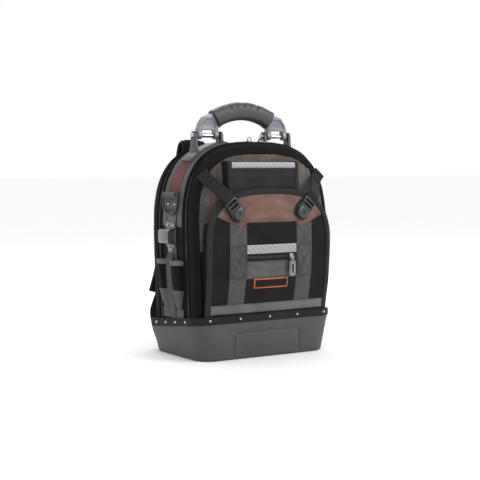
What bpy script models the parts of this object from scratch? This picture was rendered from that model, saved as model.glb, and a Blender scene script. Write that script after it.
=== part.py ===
"""Technician's tool backpack: a moulded base, an arched body with two zipped compartments, a bellows
pocket, a meter pouch, compression straps, side fittings and a folding grip handle.
Metres, +Z up, front at -Y; the origin is the middle of the base's underside."""

import math
from collections import namedtuple

import bmesh
import bpy
from mathutils import Vector

# Clearances and walls
GAP = 0.0003
PIVOT_GAP = 0.0006
CLOTH = 0.0030
TAPE = 0.0015

# Moulded base
BASE_WIDTH = 0.348
BASE_DEPTH = 0.226
BASE_FLOOR_WIDTH = 0.324
BASE_FLOOR_DEPTH = 0.214
BASE_CORNER = 0.038
BASE_FILLET = 0.006
BASE_WALL = 0.0025
RIM_HEIGHT = 0.066
RIM_SLOPE = 0.110
STRIP_HEIGHT = 0.0165
STRIP_THICKNESS = 0.0025
STRIP_PROUD = 0.0006
PANEL_MARK_WIDTH = 0.168
PANEL_MARK_TOP = 0.058
PANEL_MARK_LINE = 0.0024

# Body
BODY_WIDTH = 0.350
BODY_TOP = 0.4545
ARCH_SPRING = 0.260
ARCH_POWER = 2.95
FOOT_CLEARANCE = 0.0008
FOOT_TUCK = 0.010
FRONT_Y = -0.0935
REAR_Y = 0.088
FRONT_LEAN = 0.013
SHOULDER = 0.0165
INSET_ACROSS = 0.90
INSET_DOWN = 1.35
SPINE_MIDDLE = -0.007
SPINE_WIDTH = 0.084
SIDE_TRIM = 0.0227
PANEL_SPLIT = 0.228
BACK_PAD = 0.012

# Front pocket
POCKET_WIDTH = 0.306
POCKET_TOP = 0.3555
POCKET_SPRING = 0.235
POCKET_POWER = 2.9
POCKET_DEPTH = 0.0340
POCKET_CROWN = 0.006
POCKET_WALL = 0.0025
BINDING = 0.009
BINDING_LIP = 0.003
FOOT_BAND = 0.020
WEBBING = 0.040
WEBBING_MIDDLE = 0.273 * POCKET_WIDTH
YOKE_WIDTH = 0.856 * POCKET_WIDTH
YOKE_LOW = 0.779 * POCKET_TOP
YOKE_NOTCH = 0.011
YOKE_RISE = 0.024
YOKE_POINT = 0.008
ZIP_PANEL_LOW = 0.1700
ZIP_PANEL_HIGH = 0.2075
ZIP_HEIGHT = 0.014
REFLECTOR = 0.019
BOX_PATCH = 0.072
LABEL_WIDTH = 0.086
LABEL_HEIGHT = 0.021
PULL_WIDTH = 0.016
PULL_LENGTH = 0.036
SLIDER_X = 0.047

# Meter pouch
POUCH_WIDTH = 0.174
POUCH_SHIFT = -0.012
POUCH_TOP = 0.4130
POUCH_LOW = 0.338
POUCH_DEPTH = 0.0245
FLAP_REFLECTOR = 0.013

# Compression straps
STRAP = 0.028
STRAP_TOP_X = 0.150
STRAP_TOP_Z = 0.391
BUCKLE_X = 0.087
BUCKLE_SHIFT = -0.006
BUCKLE_Z = 0.315
BUCKLE_LENGTH = 0.050
BUCKLE_WIDTH = 0.037
BUCKLE_THICKNESS = 0.008

# Handle
PIVOT_Z = 0.4705
PIVOT_X = 0.0885
PIN_RADIUS = 0.0045
LUG_RADIUS = 0.0085
EAR_SPREAD = 0.032
LUG_SPREAD = 0.0205
EAR_THICKNESS = 0.006
LUG_THICKNESS = 0.009
SADDLE = 0.004
SADDLE_DEPTH = 0.046
GRIP_CENTRE_Z = 0.3835
GRIP_OUTER = 0.160
GRIP_INNER = 0.121
GRIP_HALF_ANGLE = 30.0
GRIP_THICKNESS = 0.031
ARM_THICKNESS = 0.015

# Left side fittings
TAB_WIDTH = 0.050
TAB_TOP = 0.346
TAB_LENGTH = 0.036
TAB_ROLL = 0.0055
RING_WIRE = 0.0024
RING_DROP = 0.043
CLIP_WIDTH = 0.042
CLIP_REACH = 0.018
CLIP_PLATE = 0.0018
CLIP_HIGH = 0.2885
CLIP_LOW = 0.2235
BRIDGE_HIGH = 0.2700
BRIDGE_LOW = 0.2455
BRIDGE_SLOPE = 0.003
SIDE_WEBBING = 0.036
SLEEVE_TOP = 0.198
SLEEVE_BINDING = 0.010
SLEEVE_WAIST = 0.145
SLEEVE_FOOT = 0.106
SLEEVE_BULGE = 0.020
SLEEVE_WIDTH = 0.045
SLEEVE_SPREAD = 0.0235

# Back
SHOULDER_STRAP = 0.060
SHOULDER_PAD = 0.012
STRAP_SEAM_Z = 0.393
HUMP_Z = 0.451
HUMP_RADIUS = 0.010
HUMP_DROP = 0.022
BACK_WEBBING = 0.025
BACK_WEBBING_LOW = 0.015
STRAP_BOW = 0.042
STRAP_END = 0.264
TOP_SLIDER_X = 0.014

SPINE_FRONT = SPINE_MIDDLE - SPINE_WIDTH / 2
SPINE_REAR = SPINE_MIDDLE + SPINE_WIDTH / 2
STRIP_SEAT = STRIP_THICKNESS + GAP - STRIP_PROUD
TUB_INNER = STRIP_SEAT + BASE_WALL
PANEL_INSET = SHOULDER + GAP

Arch = namedtuple("Arch", "foot_half half spring top power across down")
BODY = Arch(BASE_WIDTH / 2 - TUB_INNER - FOOT_CLEARANCE, BODY_WIDTH / 2, ARCH_SPRING, BODY_TOP, ARCH_POWER,
            INSET_ACROSS, INSET_DOWN)
POCKET = Arch(POCKET_WIDTH / 2 - 0.002, POCKET_WIDTH / 2, POCKET_SPRING, POCKET_TOP, POCKET_POWER, 1.0, 1.0)

# Stations round an arch: -2 left foot, -1 left spring, 0 top, 1 right spring, 2 right foot
RIGHT_STATIONS = [0.0, 0.05, 0.1, 0.2, 0.3, 0.4, 0.5, 0.6, 0.7, 0.8, 0.9, 0.95, 1.0, 1.3, 1.6, 2.0]
STATIONS = [-u for u in RIGHT_STATIONS[:0:-1]] + RIGHT_STATIONS


def rim_z(y):
    """The tub's rim stands higher in front than behind."""
    return RIM_HEIGHT - RIM_SLOPE * y


def tub_top(y):
    return rim_z(y) + STRIP_HEIGHT


def body_foot(y):
    return tub_top(y) - FOOT_TUCK


def pocket_foot(y):
    return tub_top(y) + GAP


def arch_point(arch, u, inset, foot):
    """(x, z) of an arch at station u, drawn in by inset, which its shares across and down alter."""
    side = -1 if u < 0 else 1
    half = arch.half - arch.across * inset
    if abs(u) > 1:
        share = abs(u) - 1
        x = half - (arch.half - arch.foot_half) * share
        return side * x, arch.spring + (foot - arch.spring) * share
    angle = abs(u) * math.pi / 2
    x = half * math.sin(angle) ** (2 / arch.power)
    z = arch.spring + (arch.top - arch.spring - arch.down * inset) * math.cos(angle) ** (2 / arch.power)
    return side * x, z


def arch_half(arch, z, inset, foot):
    """Half width of an arch at height z."""
    if z <= arch.spring:
        share = (arch.spring - z) / (arch.spring - foot)
        return arch.half - arch.across * inset - (arch.half - arch.foot_half) * share
    share = (z - arch.spring) / (arch.top - arch.spring - arch.down * inset)
    return (arch.half - arch.across * inset) * max(0.0, 1 - share ** arch.power) ** (1 / arch.power)


def station_at(arch, z, foot):
    """The station on the right where an arch reaches height z."""
    if z <= arch.spring:
        return 1 + (arch.spring - z) / (arch.spring - foot)
    return math.acos(((z - arch.spring) / (arch.top - arch.spring)) ** (arch.power / 2)) * 2 / math.pi


def arch_height(arch, x, inset):
    """Height of an arch above x."""
    share = min(1.0, abs(x) / (arch.half - arch.across * inset))
    rise = arch.top - arch.spring - arch.down * inset
    return arch.spring + rise * (1 - share ** arch.power) ** (1 / arch.power)


def lean(y, z):
    """What lies ahead of the spine leans back towards the top."""
    rise = max(0.0, (z - ARCH_SPRING) / (BODY_TOP - ARCH_SPRING))
    reach = min(1.0, max(0.0, (SPINE_FRONT - y) / (SPINE_FRONT - FRONT_Y)))
    return y + FRONT_LEAN * rise * reach


def no_surface(x, z):
    return 0.0


# How far the pocket's front swells from its foot: share of the height, share of the depth
SWELL = ((0.0, 0.44), (0.26, 0.84), (0.53, 0.95), (1.0, 1.0))


def pocket_front_y(x, z):
    foot = pocket_foot(-BASE_DEPTH / 2)
    share = min(1.0, max(0.0, (z - foot) / (POCKET_TOP - foot)))
    for (low, start), (high, end) in zip(SWELL, SWELL[1:]):
        if share <= high:
            swell = start + (end - start) * (share - low) / (high - low)
            break
    return FRONT_Y - POCKET_DEPTH * swell + POCKET_CROWN * (2 * x / POCKET_WIDTH) ** 2 * swell


def swell_levels(low, high):
    """Heights between low and high where the pocket's front or the lean changes slope."""
    foot = pocket_foot(-BASE_DEPTH / 2)
    knots = [foot + share * (POCKET_TOP - foot) for share, _ in SWELL] + [ARCH_SPRING]
    return sorted(z for z in knots if low + GAP < z < high - GAP)


def pocket_stations():
    """The stations round the pocket, with one wherever its front or the lean changes slope."""
    foot = pocket_foot(FRONT_Y)
    knots = [station_at(POCKET, z, foot) for z in swell_levels(foot, POCKET_TOP)]
    right = sorted(set(RIGHT_STATIONS[:-1] + knots))
    return [-u for u in right[:0:-1]] + right


def finish(name, colour, roughness, metallic=0.0):
    """The material of that name, made once."""
    if name in bpy.data.materials:
        return bpy.data.materials[name]
    made = bpy.data.materials.new(name)
    made.use_nodes = True
    shader = made.node_tree.nodes["Principled BSDF"]
    shader.inputs["Base Color"].default_value = (*colour, 1.0)
    shader.inputs["Roughness"].default_value = roughness
    shader.inputs["Metallic"].default_value = metallic
    return made


def black_cloth():
    return finish("black_cloth", (0.018, 0.017, 0.018), 0.85)


def black_webbing():
    return finish("black_webbing", (0.026, 0.025, 0.026), 0.75)


def grey_webbing():
    return finish("grey_webbing", (0.125, 0.130, 0.128), 0.80)


def grey_trim():
    return finish("grey_trim", (0.130, 0.122, 0.116), 0.80)


def brown_cloth():
    return finish("brown_cloth", (0.170, 0.085, 0.070), 0.75)


def taupe_cloth():
    return finish("taupe_cloth", (0.150, 0.130, 0.108), 0.80)


def base_plastic():
    return finish("base_plastic", (0.070, 0.068, 0.069), 0.55)


def buckle_plastic():
    return finish("buckle_plastic", (0.030, 0.031, 0.034), 0.40)


def reflective_tape():
    return finish("reflective_tape", (0.400, 0.410, 0.420), 0.45)


def handle_metal():
    return finish("handle_metal", (0.230, 0.245, 0.260), 0.38, 0.6)


def grip_rubber():
    return finish("grip_rubber", (0.080, 0.082, 0.085), 0.60)


def bright_steel():
    return finish("bright_steel", (0.700, 0.700, 0.710), 0.22, 1.0)


def orange_edge():
    return finish("orange_edge", (0.620, 0.160, 0.050), 0.60)


def add_object(name, mesh, material, origin=(0, 0, 0), sharp_angle=35):
    """Turns a closed bmesh into a named object, with its origin where asked."""
    bmesh.ops.recalc_face_normals(mesh, faces=mesh.faces)
    bmesh.ops.translate(mesh, verts=mesh.verts, vec=-Vector(origin))
    data = bpy.data.meshes.new(name)
    mesh.to_mesh(data)
    mesh.free()
    data.shade_smooth()
    data.set_sharp_from_angle(angle=math.radians(sharp_angle))
    data.materials.append(material)
    made = bpy.data.objects.new(name, data)
    made.location = origin
    bpy.context.scene.collection.objects.link(made)
    return made


def skin_mesh(rings, closed=False, into=None):
    """A closed skin over rings of points: capped at both ends, or joined round."""
    mesh = into or bmesh.new()
    rows = [[mesh.verts.new(point) for point in ring] for ring in rings]
    pairs = list(zip(rows, rows[1:])) + ([(rows[-1], rows[0])] if closed else [])
    for row, following in pairs:
        for k, vertex in enumerate(row):
            after = (k + 1) % len(row)
            mesh.faces.new((vertex, row[after], following[after], following[k]))
    if not closed:
        mesh.faces.new(rows[0])
        mesh.faces.new(rows[-1])
    return mesh


def skin(name, rings, material, closed=False, origin=(0, 0, 0)):
    return add_object(name, skin_mesh(rings, closed), material, origin)


def combine(target, tool, operation):
    """Joins or cuts target with tool, which stays as a hidden guide."""
    tool.hide_render = True
    tool.display_type = "WIRE"
    tool.name = "guide_" + tool.name
    change = target.modifiers.new(tool.name, "BOOLEAN")
    change.operation = operation
    change.solver = "EXACT"
    change.object = tool


def block_rings(low, high):
    """Two rings of a straight box from its lowest to its highest corner."""
    return [[(low[0], low[1], z), (high[0], low[1], z), (high[0], high[1], z), (low[0], high[1], z)]
            for z in (low[2], high[2])]


def round_rings(centre, axis, length, radius, sides=16, start=0.0):
    """Two rings of a round bar along the X or Y axis, centred on a point."""
    rings = []
    for end in (-length / 2, length / 2):
        ring = []
        for k in range(sides):
            angle = start + 2 * math.pi * (k + 0.5) / sides
            across, up = radius * math.cos(angle), radius * math.sin(angle)
            offset = (end, across, up) if axis == "X" else (across, end, up)
            ring.append(tuple(c + o for c, o in zip(centre, offset)))
        rings.append(ring)
    return rings


def slab_rings(outline, low, high, axis):
    """Two rings of a flat plate: an outline of (x, z) pairs spread along Y, or of (y, z) along X."""
    if axis == "Y":
        return [[(x, level, z) for x, z in outline] for level in (low, high)]
    return [[(level, y, z) for y, z in outline] for level in (low, high)]


def sweep(name, arch, profile, stations, material, foot, surface=no_surface):
    """A band that follows an arch: profile is a closed list of (inset, offset along Y from the surface)."""
    rings = []
    for u in stations:
        ring = []
        for inset, offset in profile:
            guess = foot(FRONT_Y) if surface is not no_surface else foot(offset)
            x, z = arch_point(arch, u, inset, guess)
            y = surface(x, z) + offset
            ring.append((x, lean(y, z), z))
        rings.append(ring)
    return skin(name, rings, material)


def arch_plate(name, arch, inset, front, back, low, high, material):
    """A flat arched panel between two heights, leaning with the front."""
    levels = [low] + [z for z in (ARCH_SPRING,) if low < z < high] + [high]
    if high > arch.top - inset:
        levels.pop()
        tops = [arch_point(arch, u, inset, 0.0)[1] for u in RIGHT_STATIONS[1:]]
        levels = levels[:2] + sorted(z for z in tops if z > levels[-1] + GAP)
    rings = []
    for z in levels:
        half = arch_half(arch, z, inset, body_foot(front))
        corners = ((-1, front), (1, front), (1, back), (-1, back))
        rings.append([(side * half, lean(y, z), z) for side, y in corners])
    return skin(name, rings, material)


def cloth_patch(name, columns, bottom, top, offset, thickness, material, surface=pocket_front_y):
    """Cloth laid on a surface: columns of x, each from bottom(x) to top(x), standing offset proud."""
    low = min(bottom(x) for x in columns)
    high = max(top(x) for x in columns)
    between = [z for z in swell_levels(low, high) if all(bottom(x) < z < top(x) for x in columns)]
    rings = []
    for x in columns:
        column = [bottom(x)] + between + [top(x)]
        inner = [(x, lean(surface(x, z) - offset, z), z) for z in column]
        outer = [(x, lean(surface(x, z) - offset - thickness, z), z) for z in reversed(column)]
        rings.append(inner + outer)
    return skin(name, rings, material)


def spread(low, high, count):
    return [low + (high - low) * k / count for k in range(count + 1)]


def rounded_rectangle(half_width, half_depth, radius, steps=5):
    """Closed outline of (x, y) with round corners, from the front right corner round to the left."""
    outline = []
    for quarter, (sx, sy) in enumerate(((1, 1), (-1, 1), (-1, -1), (1, -1))):
        for k in range(steps + 1):
            angle = math.pi / 2 * (quarter + k / steps)
            x = sx * (half_width - radius) + radius * math.cos(angle)
            y = sy * (half_depth - radius) + radius * math.sin(angle)
            outline.append((x, y))
    return outline


def tub_outline(share, inset):
    """The tub's plan at a share of the rim's height, drawn in by inset."""
    width = BASE_FLOOR_WIDTH + (BASE_WIDTH - BASE_FLOOR_WIDTH) * share
    depth = BASE_FLOOR_DEPTH + (BASE_DEPTH - BASE_FLOOR_DEPTH) * share
    return rounded_rectangle(width / 2 - inset, depth / 2 - inset, BASE_CORNER - inset)


def base_tray():
    rings = []
    for angle in (0, 30, 60, 90):
        inset = BASE_FILLET * (1 - math.sin(math.radians(angle)))
        height = BASE_FILLET * (1 - math.cos(math.radians(angle)))
        rings.append([(x, y, height) for x, y in tub_outline(0, inset)])
    for inset, rise in ((0, 0), (STRIP_SEAT, 0), (STRIP_SEAT, STRIP_HEIGHT), (TUB_INNER, STRIP_HEIGHT),
                        (TUB_INNER, -BASE_WALL)):
        rings.append([(x, y, rim_z(y) + rise) for x, y in tub_outline(1, inset)])
    rings.append([(x, y, BASE_FILLET + BASE_WALL) for x, y in tub_outline(0, BASE_WALL)])
    rings.append([(x, y, BASE_WALL) for x, y in tub_outline(0, BASE_FILLET)])
    tub = skin("base_tray", rings, base_plastic())
    combine(tub, panel_mark(), "DIFFERENCE")


def panel_mark():
    """The groove that draws a round-cornered panel on the tub's front."""
    half, corner = PANEL_MARK_WIDTH / 2, 0.012
    path = [(-half, BASE_FILLET), (-half, PANEL_MARK_TOP - corner)]
    for k in range(1, 4):
        angle = math.pi / 2 * k / 3
        x = -half + corner * (1 - math.cos(angle))
        path.append((x, PANEL_MARK_TOP - corner * (1 - math.sin(angle))))
    path += [(-x, z) for x, z in reversed(path)]
    rings = []
    middle = Vector((0, PANEL_MARK_TOP / 2))
    for x, z in path:
        share = (z - BASE_FILLET) / (rim_z(-BASE_DEPTH / 2) - BASE_FILLET)
        y = -(BASE_FLOOR_DEPTH + (BASE_DEPTH - BASE_FLOOR_DEPTH) * share) / 2
        inward = Vector((math.copysign(1.0, -x), -1.0 if z > PANEL_MARK_TOP - corner else 0.0))
        inner_x, inner_z = x + PANEL_MARK_LINE * inward[0], z + PANEL_MARK_LINE * inward[1]
        rings.append([(x, y - 0.004, z), (x, y + PANEL_MARK_LINE / 2, z),
                      (inner_x, y + PANEL_MARK_LINE / 2, inner_z), (inner_x, y - 0.004, inner_z)])
    return skin("panel_mark", rings, base_plastic())


def rim_strip():
    outer, inner = tub_outline(1, -STRIP_PROUD), tub_outline(1, STRIP_SEAT - GAP)
    rings = []
    for (ox, oy), (ix, iy) in zip(outer, inner):
        rings.append([(ox, oy, rim_z(oy) + GAP), (ox, oy, tub_top(oy)),
                      (ix, iy, tub_top(iy)), (ix, iy, rim_z(iy) + GAP)])
    skin("rim_strip", rings, black_webbing(), closed=True)


def zip_rings():
    """The two arched bands with a round shoulder, open towards the spine."""
    shoulder = ((0.0, 1.0), (0.13, 0.45), (0.50, 0.06), (0.90, -0.10), (1.0, 0.0))
    inner = ((1.0, 0.16), (0.60, 0.22), (0.30, 0.55), (0.18, 1.0))
    for name, seam, face, toward in (("front_zip_ring", SPINE_FRONT - GAP, FRONT_Y, 1),
                                     ("rear_zip_ring", SPINE_REAR + GAP, REAR_Y, -1)):
        profile = [(0.0, seam)]
        profile += [(SHOULDER * inset, face + toward * SHOULDER * rise) for inset, rise in shoulder + inner]
        profile += [(CLOTH, seam)]
        sweep(name, BODY, profile, STATIONS, black_cloth(), body_foot)


def spine():
    depth = CLOTH + TAPE + GAP
    near = TAPE + 2 * GAP
    band = [(near, SPINE_FRONT), (depth, SPINE_FRONT), (depth, SPINE_REAR), (near, SPINE_REAR)]
    sweep("spine_band", BODY, band, STATIONS, black_cloth(), body_foot)
    over = [u for u in STATIONS if abs(u) <= 0.95]
    for name, low in (("front_trim", SPINE_FRONT), ("rear_trim", SPINE_REAR - SIDE_TRIM)):
        trim = [(GAP, low), (GAP + TAPE, low), (GAP + TAPE, low + SIDE_TRIM), (GAP, low + SIDE_TRIM)]
        sweep(name, BODY, trim, over, grey_trim(), body_foot)
    low, high = SPINE_FRONT + SIDE_TRIM + GAP, SPINE_REAR - SIDE_TRIM - GAP
    patch = [(GAP, low), (GAP + TAPE, low), (GAP + TAPE, high), (GAP, high)]
    sweep("left_side_patch", BODY, patch, [-0.8, -0.7, -0.6, -0.5], brown_cloth(), body_foot)
    sweep("right_side_patch", BODY, patch, [0.5, 0.6, 0.7, 0.8], brown_cloth(), body_foot)


def body_panels():
    back = FRONT_Y + CLOTH * 0.7
    arch_plate("upper_front_panel", BODY, PANEL_INSET, FRONT_Y, back, PANEL_SPLIT + GAP, BODY_TOP,
               taupe_cloth())
    arch_plate("lower_front_panel", BODY, PANEL_INSET, FRONT_Y, back, body_foot(FRONT_Y), PANEL_SPLIT,
               black_cloth())
    arch_plate("back_panel", BODY, PANEL_INSET, REAR_Y - CLOTH, REAR_Y - CLOTH + BACK_PAD, body_foot(REAR_Y),
               BODY_TOP, black_cloth())


def pocket_body():
    rings = []
    columns = spread(-1, 1, 8)
    for z in [pocket_foot(FRONT_Y - POCKET_DEPTH * SWELL[0][1])] + pocket_rows():
        half = arch_half(POCKET, z, 0, pocket_foot(FRONT_Y))
        front = [(c * half, lean(pocket_front_y(c * half, z), z), z) for c in columns]
        back = [(c * half, lean(pocket_front_y(c * half, z) + POCKET_WALL, z), z) for c in reversed(columns)]
        rings.append(front + back)
    skin("pocket_front", rings, black_cloth())
    pocket_gusset()
    lip = BINDING_LIP
    tape = [(-lip, -TAPE - GAP), (-lip, POCKET_WALL), (-GAP * 2, POCKET_WALL), (-GAP * 2, -GAP),
            (BINDING, -GAP), (BINDING, -TAPE - GAP)]
    sweep("pocket_binding", POCKET, tape, pocket_stations(), black_webbing(), pocket_foot, pocket_front_y)


def pocket_rows():
    arc = [arch_point(POCKET, u, 0, 0.0)[1] for u in RIGHT_STATIONS[1:12]]
    side = swell_levels(RIM_HEIGHT + 2 * STRIP_HEIGHT, POCKET_SPRING + BINDING)
    return sorted(set(side + [POCKET_SPRING, ARCH_SPRING] + [z for z in arc if z > POCKET_SPRING + GAP]))


def pocket_gusset():
    """The pocket's two side walls and its floor, in one length of cloth."""
    right = [u for u in pocket_stations() if u >= 0.8] + [1.95]
    rings = []
    for u in [-u for u in right] + right[::-1]:
        ring = []
        for inset in (0.001, 0.001 + CLOTH * 0.7):
            for back in (False, True) if inset == 0.001 else (True, False):
                y_guess = FRONT_Y if back else FRONT_Y - POCKET_DEPTH * 0.4
                x, z = arch_point(POCKET, u, inset, pocket_foot(y_guess))
                z += inset if abs(u) > 1.9 else 0.0
                y = FRONT_Y - GAP if back else pocket_front_y(x, z) + POCKET_WALL + GAP
                ring.append((x, lean(y, z), z))
        rings.append(ring)
    skin("pocket_gusset", rings, black_cloth())


def yoke_bottom(x):
    """The yoke's lower edge: straight between the webbings, a point over each, then rising outwards."""
    inner, point, end = WEBBING_MIDDLE - WEBBING / 2 - TAPE, WEBBING_MIDDLE - YOKE_POINT, YOKE_WIDTH / 2
    low, notch, rise = YOKE_LOW, YOKE_LOW + YOKE_NOTCH, YOKE_LOW + YOKE_RISE
    across = abs(x)
    if across <= inner:
        return notch
    if across <= point:
        return notch + (low - notch) * (across - inner) / (point - inner)
    return low + (rise - low) * (across - point) / (end - point)


def pocket_trim():
    inner, outer = WEBBING_MIDDLE - WEBBING / 2, WEBBING_MIDDLE + WEBBING / 2
    point = WEBBING_MIDDLE - YOKE_POINT
    end = YOKE_WIDTH / 2
    yoke = [-end, -0.93 * end, -0.82 * end, -0.70 * end, -point, TAPE - inner, -0.23 * end, 0.0]
    yoke += [-x for x in reversed(yoke[:-1])]
    cloth_patch("pocket_yoke", yoke, yoke_bottom, lambda x: arch_height(POCKET, x, BINDING + GAP) - GAP,
                GAP, TAPE, brown_cloth())
    foot = pocket_foot(FRONT_Y - POCKET_DEPTH)
    band_top = foot + FOOT_BAND
    half = POCKET.foot_half - BINDING - GAP
    cloth_patch("foot_band", spread(-half, half, 8), lambda x: foot + GAP, lambda x: band_top, GAP, TAPE,
                grey_webbing())
    webbing = [inner, point, outer]
    for name, side in (("left", -1), ("right", 1)):
        columns = sorted(side * x for x in webbing)
        cloth_patch("webbing_" + name, columns, lambda x: band_top + GAP, lambda x: yoke_bottom(x) - GAP,
                    GAP, TAPE, grey_webbing())
        cloth_patch("box_patch_" + name, columns, lambda x: ZIP_PANEL_LOW,
                    lambda x: ZIP_PANEL_LOW + BOX_PATCH, TAPE + 2 * GAP, TAPE, grey_webbing())
    between = spread(-inner + GAP, inner - GAP, 4)
    zip_low = ZIP_PANEL_HIGH + GAP
    zip_high = zip_low + ZIP_HEIGHT
    cloth_patch("zip_panel", between, lambda x: ZIP_PANEL_LOW, lambda x: ZIP_PANEL_HIGH, GAP, TAPE,
                grey_webbing())
    cloth_patch("pocket_zip", between, lambda x: zip_low, lambda x: zip_high, GAP, TAPE, black_webbing())
    tape_low = zip_high + GAP
    cloth_patch("pocket_reflector", between, lambda x: tape_low, lambda x: tape_low + REFLECTOR, GAP, TAPE,
                reflective_tape())
    label = spread(-LABEL_WIDTH / 2, LABEL_WIDTH / 2, 3)
    label_top = ZIP_PANEL_LOW - GAP
    cloth_patch("pocket_label", label, lambda x: label_top - LABEL_HEIGHT, lambda x: label_top, GAP, TAPE,
                orange_edge())


def pocket_zip_slider():
    """The slider on the zip, and the pull that swings on its bar."""
    x, z = SLIDER_X, ZIP_PANEL_HIGH + ZIP_HEIGHT / 2
    face = pocket_front_y(x, z) - TAPE - 3 * GAP
    bar = (x, face - 0.0062, z - 0.003)
    block = block_rings((x - 0.0045, face - 0.003, z - 0.006), (x + 0.0045, face, z + 0.006))
    slider = skin("zip_slider", block, bright_steel())
    for side in (-1, 1):
        cheek = block_rings((x + side * 0.0031 - 0.0009, face - 0.0078, z - 0.0050),
                            (x + side * 0.0031 + 0.0009, face - 0.0025, z - 0.0010))
        combine(slider, skin("cheek_%d" % side, cheek, bright_steel()), "UNION")
    across = round_rings(bar, "X", 0.0055, 0.0008, 8)
    combine(slider, skin("slider_bar", across, bright_steel()), "UNION")
    half = PULL_WIDTH / 2
    outline = [(x - 0.0018, bar[2] + 0.0018), (x - 0.0018, bar[2] - 0.004), (x - half, bar[2] - 0.008),
               (x - half, bar[2] - PULL_LENGTH), (x - half + 0.003, bar[2] - PULL_LENGTH - 0.003),
               (x + half - 0.003, bar[2] - PULL_LENGTH - 0.003), (x + half, bar[2] - PULL_LENGTH),
               (x + half, bar[2] - 0.008), (x + 0.0018, bar[2] - 0.004), (x + 0.0018, bar[2] + 0.0018)]
    plate = slab_rings(outline, bar[1] - 0.0019, bar[1] + 0.0019, "Y")
    pull = skin("zip_pull", plate, bright_steel(), origin=bar)
    bore = round_rings(bar, "X", 0.010, 0.0008 + PIVOT_GAP / 2, 8)
    combine(pull, skin("pull_bore", bore, bright_steel()), "DIFFERENCE")
    thin = block_rings((x - PULL_WIDTH, bar[1] - 0.004, bar[2] - 2 * PULL_LENGTH),
                       (x + PULL_WIDTH, bar[1] - 0.0009, bar[2] - 0.0045))
    combine(pull, skin("pull_thinning", thin, bright_steel()), "DIFFERENCE")


def meter_pouch():
    back = FRONT_Y - GAP
    half, wall = POUCH_WIDTH / 2, CLOTH * 0.7
    rings = []
    for inset, z in ((0, POUCH_LOW), (0, POUCH_TOP), (wall, POUCH_TOP), (wall, POUCH_LOW + wall)):
        front, rear = back - POUCH_DEPTH + inset, back - inset
        side, bevel = half - inset, 0.003
        plan = ((-side, rear), (-side, front + bevel), (bevel - side, front), (side - bevel, front),
                (side, front + bevel), (side, rear))
        rings.append([(POUCH_SHIFT + x, lean(y, z), z) for x, y in plan])
    skin("meter_pouch", rings, black_cloth())
    pouch_flap(back)


def pouch_flap(back):
    """The flap over the pouch's mouth and down its front, with its reflective strip."""
    half = POUCH_WIDTH / 2 + 0.001
    front = back - POUCH_DEPTH - GAP
    top = POUCH_TOP + GAP
    wall = CLOTH * 0.7
    section = ((back, top), (front, top), (front, POUCH_LOW + 0.004), (front - wall, POUCH_LOW + 0.004),
               (front - wall, top + wall * 0.3), (front - wall * 0.3, top + wall), (back, top + wall))
    rings = [[(x, lean(y, z), z) for y, z in section] for x in (POUCH_SHIFT - half, POUCH_SHIFT + half)]
    skin("pouch_flap", rings, black_cloth())
    low, high = top + wall * 0.3 - FLAP_REFLECTOR, top + wall * 0.3 - GAP
    strip = half - 2 * TAPE
    ends = [POUCH_SHIFT - strip, POUCH_SHIFT + strip]
    cloth_patch("flap_reflector", ends, lambda x: low, lambda x: high, 0, TAPE * 0.6,
                reflective_tape(), surface=lambda x, z: front - wall - GAP)


def compression_strap(name, side):
    """A flat strap from the zip ring's shoulder across to its buckle on the pocket's yoke."""
    top = Vector((side * STRAP_TOP_X, 0, STRAP_TOP_Z))
    end = Vector((side * BUCKLE_X + BUCKLE_SHIFT, 0, BUCKLE_Z))
    run = (end - top).normalized()
    across = Vector((-run[2], 0, run[0]))
    stop = (end - top).length - BUCKLE_LENGTH / 2 - GAP
    ring_y = FRONT_Y - SHOULDER * 0.12 - GAP
    pocket_y = FRONT_Y - POCKET_DEPTH - TAPE * 2 - 3 * GAP
    steps = ((0.0, ring_y), (0.16, ring_y), (0.55, ring_y + (pocket_y - ring_y) * 0.62), (0.80, pocket_y),
             (1.0, pocket_y))
    rings = []
    for share, y in steps:
        centre = top + run * stop * share
        ring = []
        for half, depth in ((-1, 0), (1, 0), (1, TAPE), (-1, TAPE)):
            point = centre + across * half * STRAP / 2
            ring.append((point[0], lean(y - depth, point[2]), point[2]))
        rings.append(ring)
    skin("strap_" + name, rings, black_webbing())
    buckle(name, side, end, run, across, pocket_y)


def buckle(name, side, centre, run, across, face):
    """The side-release buckle and the stiff patch it lies on."""
    def plate(piece, outline, near, far, material):
        rings = []
        for y in (near, far):
            points = [centre + run * along + across * wide for along, wide in outline]
            rings.append([(p[0], lean(y, p[2]), p[2]) for p in points])
        return skin(piece, rings, material)

    length, width = BUCKLE_LENGTH / 2, BUCKLE_WIDTH / 2
    seat = face + TAPE
    half = ((-length, 0.80), (-length * 0.4, 1.0), (length * 0.6, 1.0), (length, 0.55))
    body = [(along, -width * share) for along, share in half]
    body += [(along, width * share) for along, share in reversed(half)]
    plate("buckle_" + name, body, seat - GAP, seat - BUCKLE_THICKNESS, buckle_plastic())
    patch = [(along * 0.86 + 0.004, wide * 0.92) for along, wide in body]
    plate("buckle_patch_" + name, patch, seat, seat + TAPE * 0.9, black_webbing())


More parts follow.
